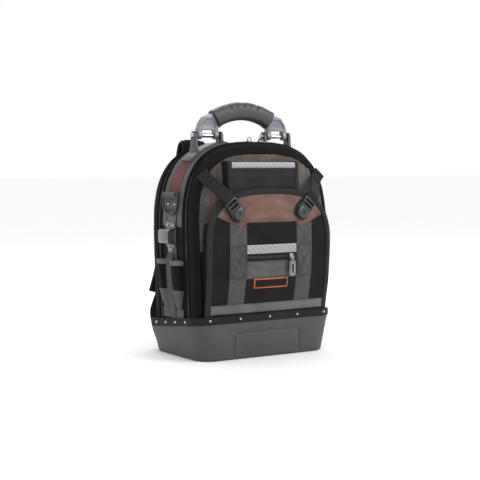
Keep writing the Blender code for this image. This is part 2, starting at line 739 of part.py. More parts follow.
def bracket(name, side):
    """A saddle over the arch's shoulder with two bored ears."""
    stations = [side * u for u in (0.5, 0.4, 0.3, 0.2, 0.1)]
    low, high = SPINE_MIDDLE - SADDLE_DEPTH / 2, SPINE_MIDDLE + SADDLE_DEPTH / 2
    profile = [(-SADDLE, low + 0.003), (-GAP, low), (-GAP, high), (-SADDLE, high - 0.003)]
    saddle = sweep("bracket_" + name, BODY, profile, stations, buckle_plastic(), body_foot)
    for place, reach in (("outer", EAR_SPREAD), ("inner", -EAR_SPREAD)):
        x = side * (PIVOT_X + reach)
        foot = arch_height(BODY, abs(x) + EAR_THICKNESS / 2, -SADDLE * 0.3)
        spread_half = SADDLE_DEPTH / 2 - 0.004 if place == "outer" else SADDLE_DEPTH / 2 - 0.009
        neck = foot + (PIVOT_Z - foot) * 0.45
        outline = [(SPINE_MIDDLE + spread_half, foot), (SPINE_MIDDLE + 0.0115, neck)]
        for k in range(9):
            angle = math.pi * k / 8
            outline.append((SPINE_MIDDLE + 0.0095 * math.cos(angle), PIVOT_Z + 0.0095 * math.sin(angle)))
        outline += [(SPINE_MIDDLE - 0.0115, neck), (SPINE_MIDDLE - spread_half, foot)]
        ear = slab_rings(outline, x - EAR_THICKNESS / 2, x + EAR_THICKNESS / 2, "X")
        combine(saddle, skin("%s_ear_%s" % (place, name), ear, buckle_plastic()), "UNION")
    centre = (side * PIVOT_X, SPINE_MIDDLE, PIVOT_Z)
    bore = round_rings(centre, "X", 0.12, PIN_RADIUS + GAP)
    combine(saddle, skin("ear_bore_" + name, bore, bright_steel()), "DIFFERENCE")
    length = 2 * EAR_SPREAD + EAR_THICKNESS
    skin("pin_" + name, round_rings(centre, "X", length, PIN_RADIUS), bright_steel(), origin=centre)


def polar(radius, degrees):
    """(x, z) on the handle's circle, degrees from its top towards +X."""
    angle = math.radians(degrees)
    return radius * math.sin(angle), GRIP_CENTRE_Z + radius * math.cos(angle)


def handle_arm(name, side):
    """The cast arm: a curved plate with two bored lugs and a sunk panel on each face."""
    pivot = (0, SPINE_MIDDLE, PIVOT_Z)
    outer_x, inner_x = PIVOT_X + LUG_SPREAD + LUG_THICKNESS / 2, PIVOT_X - LUG_SPREAD - LUG_THICKNESS / 2
    slot_out, slot_in = outer_x - LUG_THICKNESS, inner_x + LUG_THICKNESS
    joint = GRIP_HALF_ANGLE + 0.2
    top_out, top_in = polar(GRIP_OUTER - 0.004, joint), polar(GRIP_INNER + 0.003, joint)
    slot_top = PIVOT_Z + LUG_RADIUS + 0.003
    outline = [(outer_x, PIVOT_Z), (outer_x, PIVOT_Z + 0.012), (outer_x - 0.004, PIVOT_Z + 0.025),
               (outer_x - 0.014, PIVOT_Z + 0.039), top_out, top_in, (inner_x + 0.001, PIVOT_Z + 0.013),
               (inner_x, PIVOT_Z), (slot_in, PIVOT_Z), (slot_in, slot_top), (slot_out, slot_top),
               (slot_out, PIVOT_Z)]
    half = ARM_THICKNESS / 2
    rings = slab_rings([(side * x, z) for x, z in outline], SPINE_MIDDLE - half, SPINE_MIDDLE + half, "Y")
    arm = skin("arm_" + name, rings, handle_metal(), origin=pivot)
    for spread_x in (outer_x - LUG_THICKNESS / 2, inner_x + LUG_THICKNESS / 2):
        lug = round_rings((side * spread_x, SPINE_MIDDLE, PIVOT_Z), "X", LUG_THICKNESS, LUG_RADIUS)
        combine(arm, skin("lug_%s_%d" % (name, spread_x * 1000), lug, handle_metal()), "UNION")
    bore = round_rings((side * PIVOT_X, SPINE_MIDDLE, PIVOT_Z), "X", 0.09, PIN_RADIUS + PIVOT_GAP)
    combine(arm, skin("lug_bore_" + name, bore, handle_metal()), "DIFFERENCE")
    sunk = [(outer_x - 0.007, slot_top + 0.004), (outer_x - 0.0085, slot_top + 0.014),
            (outer_x - 0.018, slot_top + 0.024), (inner_x + 0.012, slot_top + 0.025),
            (inner_x + 0.007, slot_top + 0.004)]
    for face in (-1, 1):
        y = SPINE_MIDDLE + face * half
        recess = slab_rings([(side * x, z) for x, z in sunk], y - 0.0025, y + 0.0025, "Y")
        combine(arm, skin("sunk_%s_%d" % (name, face), recess, handle_metal()), "DIFFERENCE")


def handle_grip():
    """The over-moulded grip: an oval bar bent on the handle's circle, flared at both ends, ribbed on top."""
    # Degrees from the middle, rib or groove depth on the outer side, flare all round
    ribs = ((5, 0.0), (6, -0.0016), (7, 0.0), (12, 0.0), (13, -0.0016), (14, 0.0), (19, 0.0), (26, 0.0),
            (GRIP_HALF_ANGLE, 0.0015))
    sections = [(-degrees, swell) for degrees, swell in reversed(ribs)] + [(0, 0.0)] + list(ribs)
    middle, reach = (GRIP_OUTER + GRIP_INNER) / 2, (GRIP_OUTER - GRIP_INNER) / 2
    rings = []
    for degrees, swell in sections:
        ring = []
        for k in range(12):
            angle = 2 * math.pi * k / 12
            bulge = swell if math.cos(angle) > 0.3 or swell > 0 else 0.0
            along = math.copysign(abs(math.cos(angle)) ** 0.8, math.cos(angle)) * (reach + bulge)
            thick = math.copysign(abs(math.sin(angle)) ** 0.8, math.sin(angle)) * GRIP_THICKNESS / 2
            x, z = polar(middle + along, degrees)
            ring.append((x, SPINE_MIDDLE + thick, z))
        rings.append(ring)
    skin("handle_grip", rings, grip_rubber(), origin=(0, SPINE_MIDDLE, PIVOT_Z))


def side_x(z, proud):
    """X of the left side at height z, standing proud of the arch."""
    return -(arch_half(BODY, z, 0, body_foot(SPINE_MIDDLE)) + proud)


def side_slab(name, sections, width, material, middle=SPINE_MIDDLE):
    """A bent strip on the left side: a closed outline of (x, z), spread along Y about the middle."""
    return skin(name, slab_rings(sections, middle - width / 2, middle + width / 2, "Y"), material)


def ring_tab():
    """The webbing tab that rolls over the D-ring's bar, and the D-ring that hangs in it."""
    bottom = TAB_TOP - TAB_LENGTH
    tape = GAP + 0.002
    bar = Vector((side_x(TAB_TOP - RING_DROP, tape + RING_WIRE + 2 * GAP), SPINE_MIDDLE, TAB_TOP))
    tab = side_slab("ring_tab", [(side_x(TAB_TOP, GAP), TAB_TOP + 0.003), (bar[0], TAB_TOP + 0.003),
                                 (bar[0], TAB_TOP - 0.003), (side_x(TAB_TOP - 0.011, tape), TAB_TOP - 0.011),
                                 (side_x(bottom, tape), bottom), (side_x(bottom, GAP), bottom)],
                    TAB_WIDTH, grey_webbing())
    combine(tab, skin("tab_roll", round_rings(bar, "Y", TAB_WIDTH, TAB_ROLL, 12), grey_webbing()), "UNION")
    bore = round_rings(bar, "Y", TAB_WIDTH + 0.01, RING_WIRE + PIVOT_GAP, 12)
    combine(tab, skin("roll_bore", bore, grey_webbing()), "DIFFERENCE")
    half = TAB_WIDTH / 2 + 2 * RING_WIRE
    path = [(-half, 0.0)]
    for k in range(9):
        angle = math.pi * k / 8
        path.append((-half * math.cos(angle), -RING_DROP * (0.35 + 0.65 * math.sin(angle))))
    path.append((half, 0.0))
    rings = []
    count = len(path)
    for k in range(count):
        corner = Vector(path[k])
        arriving = (corner - Vector(path[k - 1])).normalized()
        leaving = (Vector(path[(k + 1) % count]) - corner).normalized()
        tangent = (arriving + leaving).normalized()
        normal = Vector((tangent[1], -tangent[0])) / tangent.dot(leaving)
        ring = []
        for j in range(8):
            angle = 2 * math.pi * (j + 0.5) / 8
            outward, across = RING_WIRE * math.cos(angle), RING_WIRE * math.sin(angle)
            y, z = corner + normal * outward
            ring.append((bar[0] + across, SPINE_MIDDLE + y, TAB_TOP + z))
        rings.append(ring)
    skin("d_ring", rings, buckle_plastic(), closed=True, origin=bar)


def tool_clip():
    """The bent steel clip riveted down the side, standing off the webbing in the middle."""
    seat = TAPE + 3 * GAP
    high, low, top, bottom = CLIP_HIGH, CLIP_LOW, BRIDGE_HIGH, BRIDGE_LOW
    line = [(side_x(high, seat), high), (side_x(top + BRIDGE_SLOPE, seat), top + BRIDGE_SLOPE),
            (side_x(top, seat + CLIP_REACH), top), (side_x(bottom, seat + CLIP_REACH), bottom),
            (side_x(bottom - BRIDGE_SLOPE, seat), bottom - BRIDGE_SLOPE), (side_x(low, seat), low)]
    outer = [(x - CLIP_PLATE, z + (CLIP_PLATE if k in (1, 2) else -CLIP_PLATE if k in (3, 4) else 0))
             for k, (x, z) in enumerate(line)]
    side_slab("tool_clip", line + outer[::-1], CLIP_WIDTH, bright_steel())


def side_webbing():
    foot = tub_top(SPINE_MIDDLE - SIDE_WEBBING / 2) + GAP
    levels = (TAB_TOP - TAB_LENGTH - GAP, 0.285, ARCH_SPRING, 0.19, foot)
    inner = [(side_x(z, GAP), z) for z in levels]
    outer = [(side_x(z, GAP + TAPE), z) for z in levels]
    side_slab("side_webbing", inner + outer[::-1], SIDE_WEBBING, grey_webbing())


def sleeve(name, middle, width):
    """An open-topped sleeve pocket that bulges from the side and tapers to its foot."""
    # Height, share of the bulge, share of the width
    rows = ((SLEEVE_FOOT, 0.25, 0.45), (SLEEVE_WAIST, 0.75, 0.92), (SLEEVE_TOP, 1.0, 1.0))
    wall = CLOTH * 0.6
    seat = TAPE + 3 * GAP

    def ring(z, bulge, share, inset):
        points = []
        for k in range(9):
            angle = math.pi * k / 8
            y = middle + (width / 2 * share - inset) * math.cos(angle)
            reach = (SLEEVE_BULGE * bulge - inset - seat) * math.sin(angle) ** 0.6 if 0 < k < 8 else 0.0
            points.append((side_x(z, seat + (inset if k in (0, 8) else max(reach, inset))), y, z))
        return points

    rings = [ring(z, bulge, share, 0.0) for z, bulge, share in rows]
    for z, bulge, share in reversed(rows):
        rings.append(ring(z + (wall if z == SLEEVE_FOOT else 0), bulge, share, wall))
    skin(name, rings, black_cloth())
    low, high = SLEEVE_TOP + GAP, SLEEVE_TOP + GAP + SLEEVE_BINDING
    corners = ((low, 0.0), (high, 0.0), (high, wall), (low, wall))
    collar = [ring(z, 1.0, 1.0, inset) for z, inset in corners]
    skin(name + "_binding", collar, grey_webbing(), closed=True)


def tub_back(z):
    """Y of the tub's rear face at height z."""
    share = (z - BASE_FILLET) / (rim_z(BASE_DEPTH / 2) - BASE_FILLET)
    return (BASE_FLOOR_DEPTH + (BASE_DEPTH - BASE_FLOOR_DEPTH) * share) / 2


def ribbon(name, path, section, material):
    """A strap along a path of points: section is a closed list of (across, outward) offsets."""
    rings = []
    for k, point in enumerate(path):
        tangent = (path[min(k + 1, len(path) - 1)] - path[max(k - 1, 0)]).normalized()
        across = (Vector((1, 0, 0)) - tangent * tangent[0]).normalized()
        outward = across.cross(tangent)
        rings.append([tuple(point + across * a + outward * b) for a, b in section])
    skin(name, rings, material)


def shoulder_strap(name, side):
    """A padded strap: up from the back, over in a hump and down, ending in a webbing back to the base."""
    seat = SHOULDER_PAD / 2
    back = REAR_Y - CLOTH + BACK_PAD + GAP
    hump = HUMP_Z - (HUMP_DROP if side > 0 else 0.0)
    # Height, distance behind the back panel, share of the body's half width
    rows = [(STRAP_SEAM_Z, seat, 0.31), (hump - 0.008, seat, 0.31)]
    for k in range(7):
        angle = math.pi * k / 6
        height = hump + HUMP_RADIUS * math.sin(angle)
        rows.append((height, seat + HUMP_RADIUS * (1 - math.cos(angle)), 0.32))
    hang = ((0.872, 0.607, 0.38), (0.670, 0.643, 0.53), (0.457, 0.786, 0.60), (0.335, 0.929, 0.66),
            (STRAP_END, 1.0, 0.71))
    rows += [(height * HUMP_Z, behind * STRAP_BOW, wide) for height, behind, wide in hang]
    path = [Vector((side * BODY_WIDTH / 2 * wide, back + behind, height)) for height, behind, wide in rows]
    half, thick = SHOULDER_STRAP / 2, SHOULDER_PAD / 2
    section = [(a * half, b * thick) for a, b in
               ((-1, -0.4), (-0.9, -1), (0.9, -1), (1, -0.4), (1, 0.4), (0.9, 1), (-0.9, 1), (-1, 0.4))]
    ribbon("shoulder_strap_" + name, path, section, black_cloth())
    low = BACK_WEBBING_LOW
    start = path[-1] + Vector((0, GAP, -GAP - 0.4 * thick))
    wall = TAPE / 2 + 2 * GAP
    # Share of the strap's X, distance behind the panel as a share of the bow, share of the strap's foot
    free = ((1.14, 0.89, 0.672), (1.12, 0.68, 0.378), (1.06, 0.46, low / path[-1][2]))
    loop = [start] + [Vector((path[-1][0] * wide, back + behind * STRAP_BOW, height * path[-1][2]))
                      for wide, behind, height in free]
    end_x = 1.05 * path[-1][0]
    for behind, rise in ((0.28 * BACK_WEBBING, -0.2 * low), (wall, 0.4 * low), (wall, 1.33 * low)):
        loop.append(Vector((end_x, tub_back(low + max(0.0, rise)) + behind, low + rise)))
    half = BACK_WEBBING / 2
    flat = [(-half, -TAPE / 2), (half, -TAPE / 2), (half, TAPE / 2), (-half, TAPE / 2)]
    ribbon("lower_webbing_" + name, loop, flat, black_webbing())


def top_slider(name, x):
    """A zip slider on top of the front ring, its pull lying along the zip."""
    y = SPINE_FRONT - 0.014
    z = arch_height(BODY, x + math.copysign(0.006, x), 0) + GAP * 2
    y = lean(y, z)
    block = block_rings((x - 0.006, y - 0.0045, z), (x + 0.006, y + 0.0045, z + 0.0045))
    skin("top_slider_" + name, block, bright_steel())


def build():
    for old in list(bpy.data.objects):
        bpy.data.objects.remove(old, do_unlink=True)
    base_tray()
    rim_strip()
    zip_rings()
    spine()
    body_panels()
    pocket_body()
    pocket_trim()
    pocket_zip_slider()
    meter_pouch()
    for name, side in (("left", -1), ("right", 1)):
        compression_strap(name, side)
        bracket(name, side)
        handle_arm(name, side)
        shoulder_strap(name, side)
        top_slider(name, side * TOP_SLIDER_X)
    handle_grip()
    ring_tab()
    tool_clip()
    side_webbing()
    sleeve("sleeve_front", SPINE_MIDDLE - SLEEVE_SPREAD, SLEEVE_WIDTH)
    sleeve("sleeve_rear", SPINE_MIDDLE + SLEEVE_SPREAD, SLEEVE_WIDTH)


build()
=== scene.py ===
import math

import bmesh
import bpy
import numpy as np
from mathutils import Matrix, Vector, noise


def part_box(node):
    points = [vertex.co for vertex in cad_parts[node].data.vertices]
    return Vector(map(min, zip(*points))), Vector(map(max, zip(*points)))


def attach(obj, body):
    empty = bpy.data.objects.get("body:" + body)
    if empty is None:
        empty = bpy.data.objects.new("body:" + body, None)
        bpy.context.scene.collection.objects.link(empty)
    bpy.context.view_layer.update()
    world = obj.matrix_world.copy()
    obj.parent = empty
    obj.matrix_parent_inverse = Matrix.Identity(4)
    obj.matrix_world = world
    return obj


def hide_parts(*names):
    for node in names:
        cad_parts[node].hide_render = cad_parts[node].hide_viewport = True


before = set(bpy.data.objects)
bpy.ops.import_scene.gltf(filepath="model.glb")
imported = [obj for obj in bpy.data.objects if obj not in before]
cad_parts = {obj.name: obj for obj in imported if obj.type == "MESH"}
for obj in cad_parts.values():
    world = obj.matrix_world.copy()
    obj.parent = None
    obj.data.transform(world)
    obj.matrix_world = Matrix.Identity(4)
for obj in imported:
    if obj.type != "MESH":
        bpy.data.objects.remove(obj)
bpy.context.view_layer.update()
bpy.ops.object.select_all(action="DESELECT")

# Studio: a pale floor of matt board, even daylight all round, a large soft box to the right of the
# camera and a smaller one behind to the left, as for a catalogue picture on white.


def fresh(name):
    """A new material and its shader."""
    made = bpy.data.materials.new(name)
    made.use_nodes = True
    return made, made.node_tree.nodes["Principled BSDF"]


def fed(made, node, values, *feeds):
    """Sets a node's values and feeds its inputs from other nodes' outputs."""
    for socket, value in values.items():
        node.inputs[socket].default_value = value
    for source, socket in feeds:
        made.node_tree.links.new(source, node.inputs[socket])
    return node


def added(made, kind, values, *feeds, **settings):
    """A new node in a material, set and fed."""
    node = made.node_tree.nodes.new("ShaderNode" + kind)
    for name, value in settings.items():
        setattr(node, name, value)
    return fed(made, node, values, *feeds)


def ramped(made, source, low, high, low_at=0.0, high_at=1.0):
    """The colour between low and high that a source picks."""
    ramp = added(made, "ValToRGB", {}, (source, "Fac"))
    for element, colour, place in zip(ramp.color_ramp.elements, (low, high), (low_at, high_at)):
        element.position = place
        element.color = (*colour, 1)
    return ramp.outputs["Color"]


bpy.ops.mesh.primitive_plane_add(size=60)
floor = bpy.context.object
floor.name = "studio_floor"
board, board_shader = fresh("floor_board")
spot = added(board, "TexCoord", {}).outputs["Object"]
speckle = added(board, "TexNoise", {"Scale": 6.0}, (spot, "Vector")).outputs["Fac"]
pale = ramped(board, speckle, (0.93, 0.93, 0.93), (0.96, 0.96, 0.96))
fed(board, board_shader, {"Roughness": 0.9}, (pale, "Base Color"))
floor.data.materials.append(board)

daylight = bpy.data.worlds.new("studio_daylight")
daylight.use_nodes = True
daylight.node_tree.nodes["Background"].inputs["Color"].default_value = (1.0, 1.0, 1.0, 1)
daylight.node_tree.nodes["Background"].inputs["Strength"].default_value = 1.0
bpy.context.scene.world = daylight
bpy.context.scene.view_settings.view_transform = "Standard"

for place, aim, size, power in (((1.6, -2.2, 1.9), (0.0, 0.0, 0.25), 1.4, 42.0),
                                ((-1.9, -0.6, 1.5), (0.0, 0.0, 0.25), 1.0, 4.0),
                                ((0.3, 1.2, 2.0), (0.0, 0.0, 0.30), 1.2, 14.0)):
    bpy.ops.object.light_add(type="AREA", location=place)
    lamp = bpy.context.object
    lamp.data.size = size
    lamp.data.energy = power
    lamp.rotation_euler = (Vector(aim) - Vector(place)).to_track_quat("-Z", "Y").to_euler()

bpy.ops.object.camera_add(location=(-1.340, -2.089, 0.408))
camera = bpy.context.object
camera.data.lens = 84.8
camera.data.sensor_width = 36.0
camera.data.clip_end = 80.0
camera.rotation_euler = (Vector((0.0, 0.0, 0.243)) - camera.location).to_track_quat("-Z", "Y").to_euler()
bpy.context.scene.camera = camera

# Moulded base: one tub of tough grey-black plastic with a fine pebbled grain, straight from its mould,
# with a panel line on the front. Everything else is riveted or sewn above it.


def grained(name, colour, shade, grain_scale, depth, roughness, metallic=0.0):
    """Moulded, cast or coated finish: pebbled grain, cloudy colour and scuffs a little lighter."""
    made, shader = fresh(name)
    where = added(made, "TexCoord", {}).outputs["Object"]
    cloud = added(made, "TexNoise", {"Scale": 14.0, "Detail": 6.0}, (where, "Vector")).outputs["Fac"]
    grain = added(made, "TexVoronoi", {"Scale": grain_scale}, (where, "Vector")).outputs["Distance"]
    rough = added(made, "MapRange", {"To Min": roughness - 0.08, "To Max": roughness + 0.10}, (cloud, "Value"))
    bump = added(made, "Bump", {"Strength": 0.35, "Distance": depth}, (grain, "Height"))
    fed(made, shader, {"Metallic": metallic}, (ramped(made, cloud, shade, colour, 0.30, 0.72), "Base Color"),
        (rough.outputs["Result"], "Roughness"), (bump.outputs["Normal"], "Normal"))
    return made


def made_from(node, name):
    """A merged copy of a frame solid, ready to be finished as a piece of its own."""
    piece = bpy.data.objects.new(name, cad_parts[node].data.copy())
    bpy.context.scene.collection.objects.link(piece)
    piece.data.materials.clear()
    shape = bmesh.new()
    shape.from_mesh(piece.data)
    bmesh.ops.remove_doubles(shape, verts=shape.verts, dist=0.00002)
    bmesh.ops.dissolve_limit(shape, angle_limit=math.radians(1.0), verts=shape.verts, edges=shape.edges)
    shape.to_mesh(piece.data)
    shape.free()
    return piece


def picked(piece):
    """Selects one piece alone."""
    bpy.ops.object.select_all(action="DESELECT")
    piece.select_set(True)
    bpy.context.view_layer.objects.active = piece


def worked(piece, name, kind, **settings):
    """Gives a piece a modifier and applies it."""
    picked(piece)
    step = piece.modifiers.new(name, kind)
    for setting, value in settings.items():
        setattr(step, setting, value)
    bpy.ops.object.modifier_apply(modifier=step.name)


def bevelled(piece, width, angle=32):
    """Rounds the sharp edges, as moulding, casting or folding does."""
    worked(piece, "rounded_edges", "BEVEL", width=width, segments=2, limit_method="ANGLE",
           angle_limit=math.radians(angle), use_clamp_overlap=True)


def finished(piece, material, nodes=(), angle=40, body="bag"):
    """Puts a piece's finish on, has it move with its body and stand for its solids."""
    picked(piece)
    piece.data.materials.append(material)
    bpy.ops.object.shade_smooth_by_angle(angle=math.radians(angle))
    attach(piece, body)
    if nodes:
        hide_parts(*nodes)
    return piece


tub_plastic = grained("tub_plastic", (0.048, 0.047, 0.048), (0.036, 0.035, 0.036), 900.0, 0.0004, 0.52)
tub = made_from("base_tray", "base_tub")
bevelled(tub, 0.0007)
finished(tub, tub_plastic, ["base_tray"], angle=50)

# Rim strip: black webbing folded over the bag's hem and the tub's lip, held by a row of domed steel
# rivets driven through both. The rivets stand closer at the corners than along the front.
RIM_HEIGHT, RIM_SLOPE = 0.066, 0.110
STRIP_HALF, STRIP_DEPTH, STRIP_CORNER = 0.1746, 0.1136, 0.0386


def woven(name, colour, shade, thread, depth, roughness, fuzz=0.05, rib=0.0):
    """Cloth finish: crossed threads, with painted shade in the valleys between them and painted light on their
    crowns, cloudy dye, a soft fuzz, and ribs across for webbing.
    """
    made, shader = fresh(name)
    where = added(made, "TexCoord", {}).outputs["Object"]
    height = None
    for direction, pitch in (("X", thread), ("Y", thread), ("Z", rib or thread)):
        threads = added(made, "TexWave", {"Scale": math.pi / 10.0 / pitch}, (where, "Vector"),
                        bands_direction=direction).outputs["Fac"]
        if height is None:
            height = threads
        else:
            height = added(made, "Math", {}, (height, 0), (threads, 1), operation="ADD").outputs["Value"]
    cloud = added(made, "TexNoise", {"Scale": 22.0, "Detail": 8.0}, (where, "Vector")).outputs["Fac"]
    # The threads' height darkens the colour in the valleys between threads and lightens it on their crowns:
    # painted shade and painted light.
    painted_valley_shade = added(made, "MapRange", {"From Max": 3.0, "To Min": 0.72, "To Max": 1.18}, (height, "Value"))
    tone = added(made, "VectorMath", {}, (ramped(made, cloud, shade, colour, 0.32, 0.68), 0),
                 (painted_valley_shade.outputs["Result"], "Scale"), operation="SCALE")
    rough = added(made, "MapRange", {"To Min": roughness - 0.06, "To Max": roughness + 0.08}, (cloud, "Value"))
    bump = added(made, "Bump", {"Strength": 0.55, "Distance": depth}, (height, "Height"))
    fed(made, shader, {"Sheen Weight": fuzz, "Sheen Roughness": 0.45, "Specular IOR Level": 0.16},
        (tone.outputs["Vector"], "Base Color"), (rough.outputs["Result"], "Roughness"),
        (bump.outputs["Normal"], "Normal"))
    return made


def piece_of(name, shape):
    """Turns worked faces into a piece of the scene."""
    data = bpy.data.meshes.new(name)
    shape.to_mesh(data)
    shape.free()
    piece = bpy.data.objects.new(name, data)
    bpy.context.scene.collection.objects.link(piece)
    return piece


def skin(name, rings, closed=False, capped=True):
    """Joins rings of points into one skin: closed round on itself, or capped at both ends."""
    shape = bmesh.new()
    rows = [[shape.verts.new(point) for point in ring] for ring in rings]
    pairs = list(zip(rows, rows[1:])) + ([(rows[-1], rows[0])] if closed else [])
    for row, following in pairs:
        for k, vertex in enumerate(row):
            after = (k + 1) % len(row)
            shape.faces.new((vertex, row[after], following[after], following[k]))
    if capped and not closed:
        shape.faces.new(rows[0])
        shape.faces.new(rows[-1])
    bmesh.ops.recalc_face_normals(shape, faces=shape.faces)
    return piece_of(name, shape)


def rim_place(share, drop, proud):
    """A point on the rim at a share of the way round, from the middle of the front towards +X."""
    straight_x, straight_y = STRIP_HALF - STRIP_CORNER, STRIP_DEPTH - STRIP_CORNER
    quarter = math.pi / 2 * STRIP_CORNER
    lengths = (straight_x, quarter, 2 * straight_y, quarter, 2 * straight_x, quarter, 2 * straight_y, quarter,
               straight_x)
    along = (share % 1.0) * sum(lengths)
    for leg, length in enumerate(lengths):
        if along <= length:
            break
        along -= length
    reach = STRIP_CORNER + proud
    turn = along / STRIP_CORNER
    if leg in (0, 4, 8):
        start = {0: 0.0, 4: straight_x, 8: -straight_x}[leg]
        front = leg != 4
        x, y = (start + along, -STRIP_DEPTH - proud) if front else (start - along, STRIP_DEPTH + proud)
    elif leg in (2, 6):
        right = leg == 2
        x = STRIP_HALF + proud if right else -STRIP_HALF - proud
        y = -straight_y + along if right else straight_y - along
    else:
        corner = {1: (1, -1, -90), 3: (1, 1, 0), 5: (-1, 1, 90), 7: (-1, -1, 180)}[leg]
        angle = math.radians(corner[2]) + turn
        x = corner[0] * straight_x + reach * math.cos(angle)
        y = corner[1] * straight_y + reach * math.sin(angle)
    return Vector((x, y, RIM_HEIGHT - RIM_SLOPE * y + drop))


black_webbing = woven("black_webbing", (0.017, 0.016, 0.017), (0.011, 0.0105, 0.011), 0.0011, 0.0005, 0.72)
strip_section = ((0.0004, 0.0), (0.0012, 0.0012), (0.0009, 0.0026), (0.0016, 0.0042), (0.0016, 0.0123),
                 (0.0009, 0.0139), (0.0012, 0.0153), (0.0004, 0.0165), (-0.0022, 0.0165), (-0.0022, 0.0004))
strip = skin("rim_webbing", [[rim_place(k / 180, drop, proud) for proud, drop in strip_section]
                             for k in range(180)], closed=True)
finished(strip, black_webbing, ["rim_strip"])

polished = grained("polished_steel", (0.50, 0.48, 0.46), (0.36, 0.35, 0.33), 1500.0, 0.0001, 0.20, metallic=1.0)
bpy.ops.object.select_all(action="DESELECT")
bpy.ops.mesh.primitive_uv_sphere_add(segments=14, ring_count=8, radius=0.0036)
first_rivet = bpy.context.object
bpy.ops.object.mode_set(mode="EDIT")
bpy.ops.mesh.bisect(plane_co=(0, 0, 0), plane_no=(0, 0, 1), clear_inner=True, use_fill=True)
bpy.ops.transform.resize(value=(1, 1, 0.55), center_override=(0, 0, 0))
bpy.ops.object.mode_set(mode="OBJECT")


def riveted(name, place, outward, size=0.85):
    """A copy of the rivet's dome, set on a face that looks outward."""
    piece = bpy.data.objects.new(name, first_rivet.data.copy())
    bpy.context.scene.collection.objects.link(piece)
    turn = Vector(outward).to_track_quat("Z", "Y").to_matrix().to_4x4()
    turn.translation = Vector(place)
    piece.data.transform(turn @ turn.Scale(size, 4))
    return finished(piece, polished)


for side in (-1, 1):
    for number, (x, y) in enumerate(((0.0725, -1), (0.1450, -1), (0.0740, 1), (0.1450, 1))):
        place = Vector((side * x, y * (STRIP_DEPTH + 0.0016),
                        RIM_HEIGHT - RIM_SLOPE * y * STRIP_DEPTH + 0.0085))
        place.y -= 0.0022 * y if x > 0.14 else 0.0
        riveted("rivet_face_%d_%d" % (side, y * (number + 1)), place, (0.18 * side if x > 0.14 else 0, y, 0))
    for number, y in enumerate((-0.0640, -0.0225, 0.0190, 0.0600)):
        place = (side * (STRIP_HALF + 0.0016), y, RIM_HEIGHT - RIM_SLOPE * y + 0.0085)
        riveted("rivet_side_%d_%d" % (side, number), place, (side, 0, 0))
for y in (-1, 1):
    riveted("rivet_middle_%d" % y, (0.001, y * (STRIP_DEPTH + 0.0016),
                                    RIM_HEIGHT - RIM_SLOPE * y * STRIP_DEPTH + 0.0085), (0, y, 0))

# Zip rings: the two arched halves of the body, heavy black cloth with a corded seam at each edge and a
# coil zip let in between, rounding over into the front and back panels.
BODY_HALF, BODY_FOOT, BODY_SPRING, BODY_TOP, BODY_POWER = 0.175, 0.1685, 0.260, 0.4545, 2.95
SEAM_FRONT, SEAM_REAR, FACE_FRONT, FACE_REAR = -0.0493, 0.0353, -0.0935, 0.088


def leaning(y, z):
    """The front half leans back towards its top."""
    rise = max(0.0, (z - BODY_SPRING) / (BODY_TOP - BODY_SPRING))
    reach = min(1.0, max(0.0, (-0.049 - y) / 0.0445))
    return y + 0.013 * rise * reach


def body_arch(u, inset, y):
    """A point on the body's arch: u is -2 at the left foot, 0 at the top and 2 at the right foot."""
    side = -1 if u < 0 else 1
    half, foot = BODY_HALF - 0.90 * inset, RIM_HEIGHT - RIM_SLOPE * y + 0.0065
    if abs(u) > 1:
        x = half - (BODY_HALF - BODY_FOOT) * (abs(u) - 1)
        z = BODY_SPRING + (foot - BODY_SPRING) * (abs(u) - 1)
    else:
        angle = abs(u) * math.pi / 2
        x = half * math.sin(angle) ** (2 / BODY_POWER)
        z = BODY_SPRING + (BODY_TOP - BODY_SPRING - 1.35 * inset) * math.cos(angle) ** (2 / BODY_POWER)
    return Vector((side * x, leaning(y, z), z))


def evenly(place, low, high, spacing):
    """Values between low and high at which a curve's points stand evenly apart."""
    steps = np.linspace(low, high, 1600)
    points = np.array([tuple(place(float(step))) for step in steps])
    along = np.concatenate([[0.0], np.cumsum(np.linalg.norm(np.diff(points, axis=0), axis=1))])
    count = max(2, int(round(along[-1] / spacing)) + 1)
    return [float(value) for value in np.interp(np.linspace(0.0, along[-1], count), along, steps)]


def bead(centre, inset, radius, toward, count=5):
    """The outline of a corded seam, from one side of it to the other."""
    return [(inset + radius * (0.35 - math.sin(math.pi * k / (count - 1)) * 1.15),
             centre - toward * radius * math.cos(math.pi * k / (count - 1))) for k in range(count)]


CLOTH_SEED = 7
noise.seed_set(CLOTH_SEED)  # without a seed of its own the noise starts from the clock


def puffed(point, amount, scale=40.0):
    """Moves a point of cloth a little, as stuffed and sewn cloth does, the same way every time."""
    spot = Vector(point)
    return spot + amount * noise.noise_vector(spot * scale)


def tooth(shape, place):
    """One tooth of a zip: a tapered block, its corners placed by across, along and out."""
    corners = [shape.verts.new(place(a, b, c)) for c in (0, 1) for a, b in ((-1, -1), (1, -1), (1, 1), (-1, 1))]
    for quad in ((0, 1, 2, 3), (4, 7, 6, 5), (0, 4, 5, 1), (1, 5, 6, 2), (2, 6, 7, 3), (3, 7, 4, 0)):
        shape.faces.new([corners[k] for k in quad])


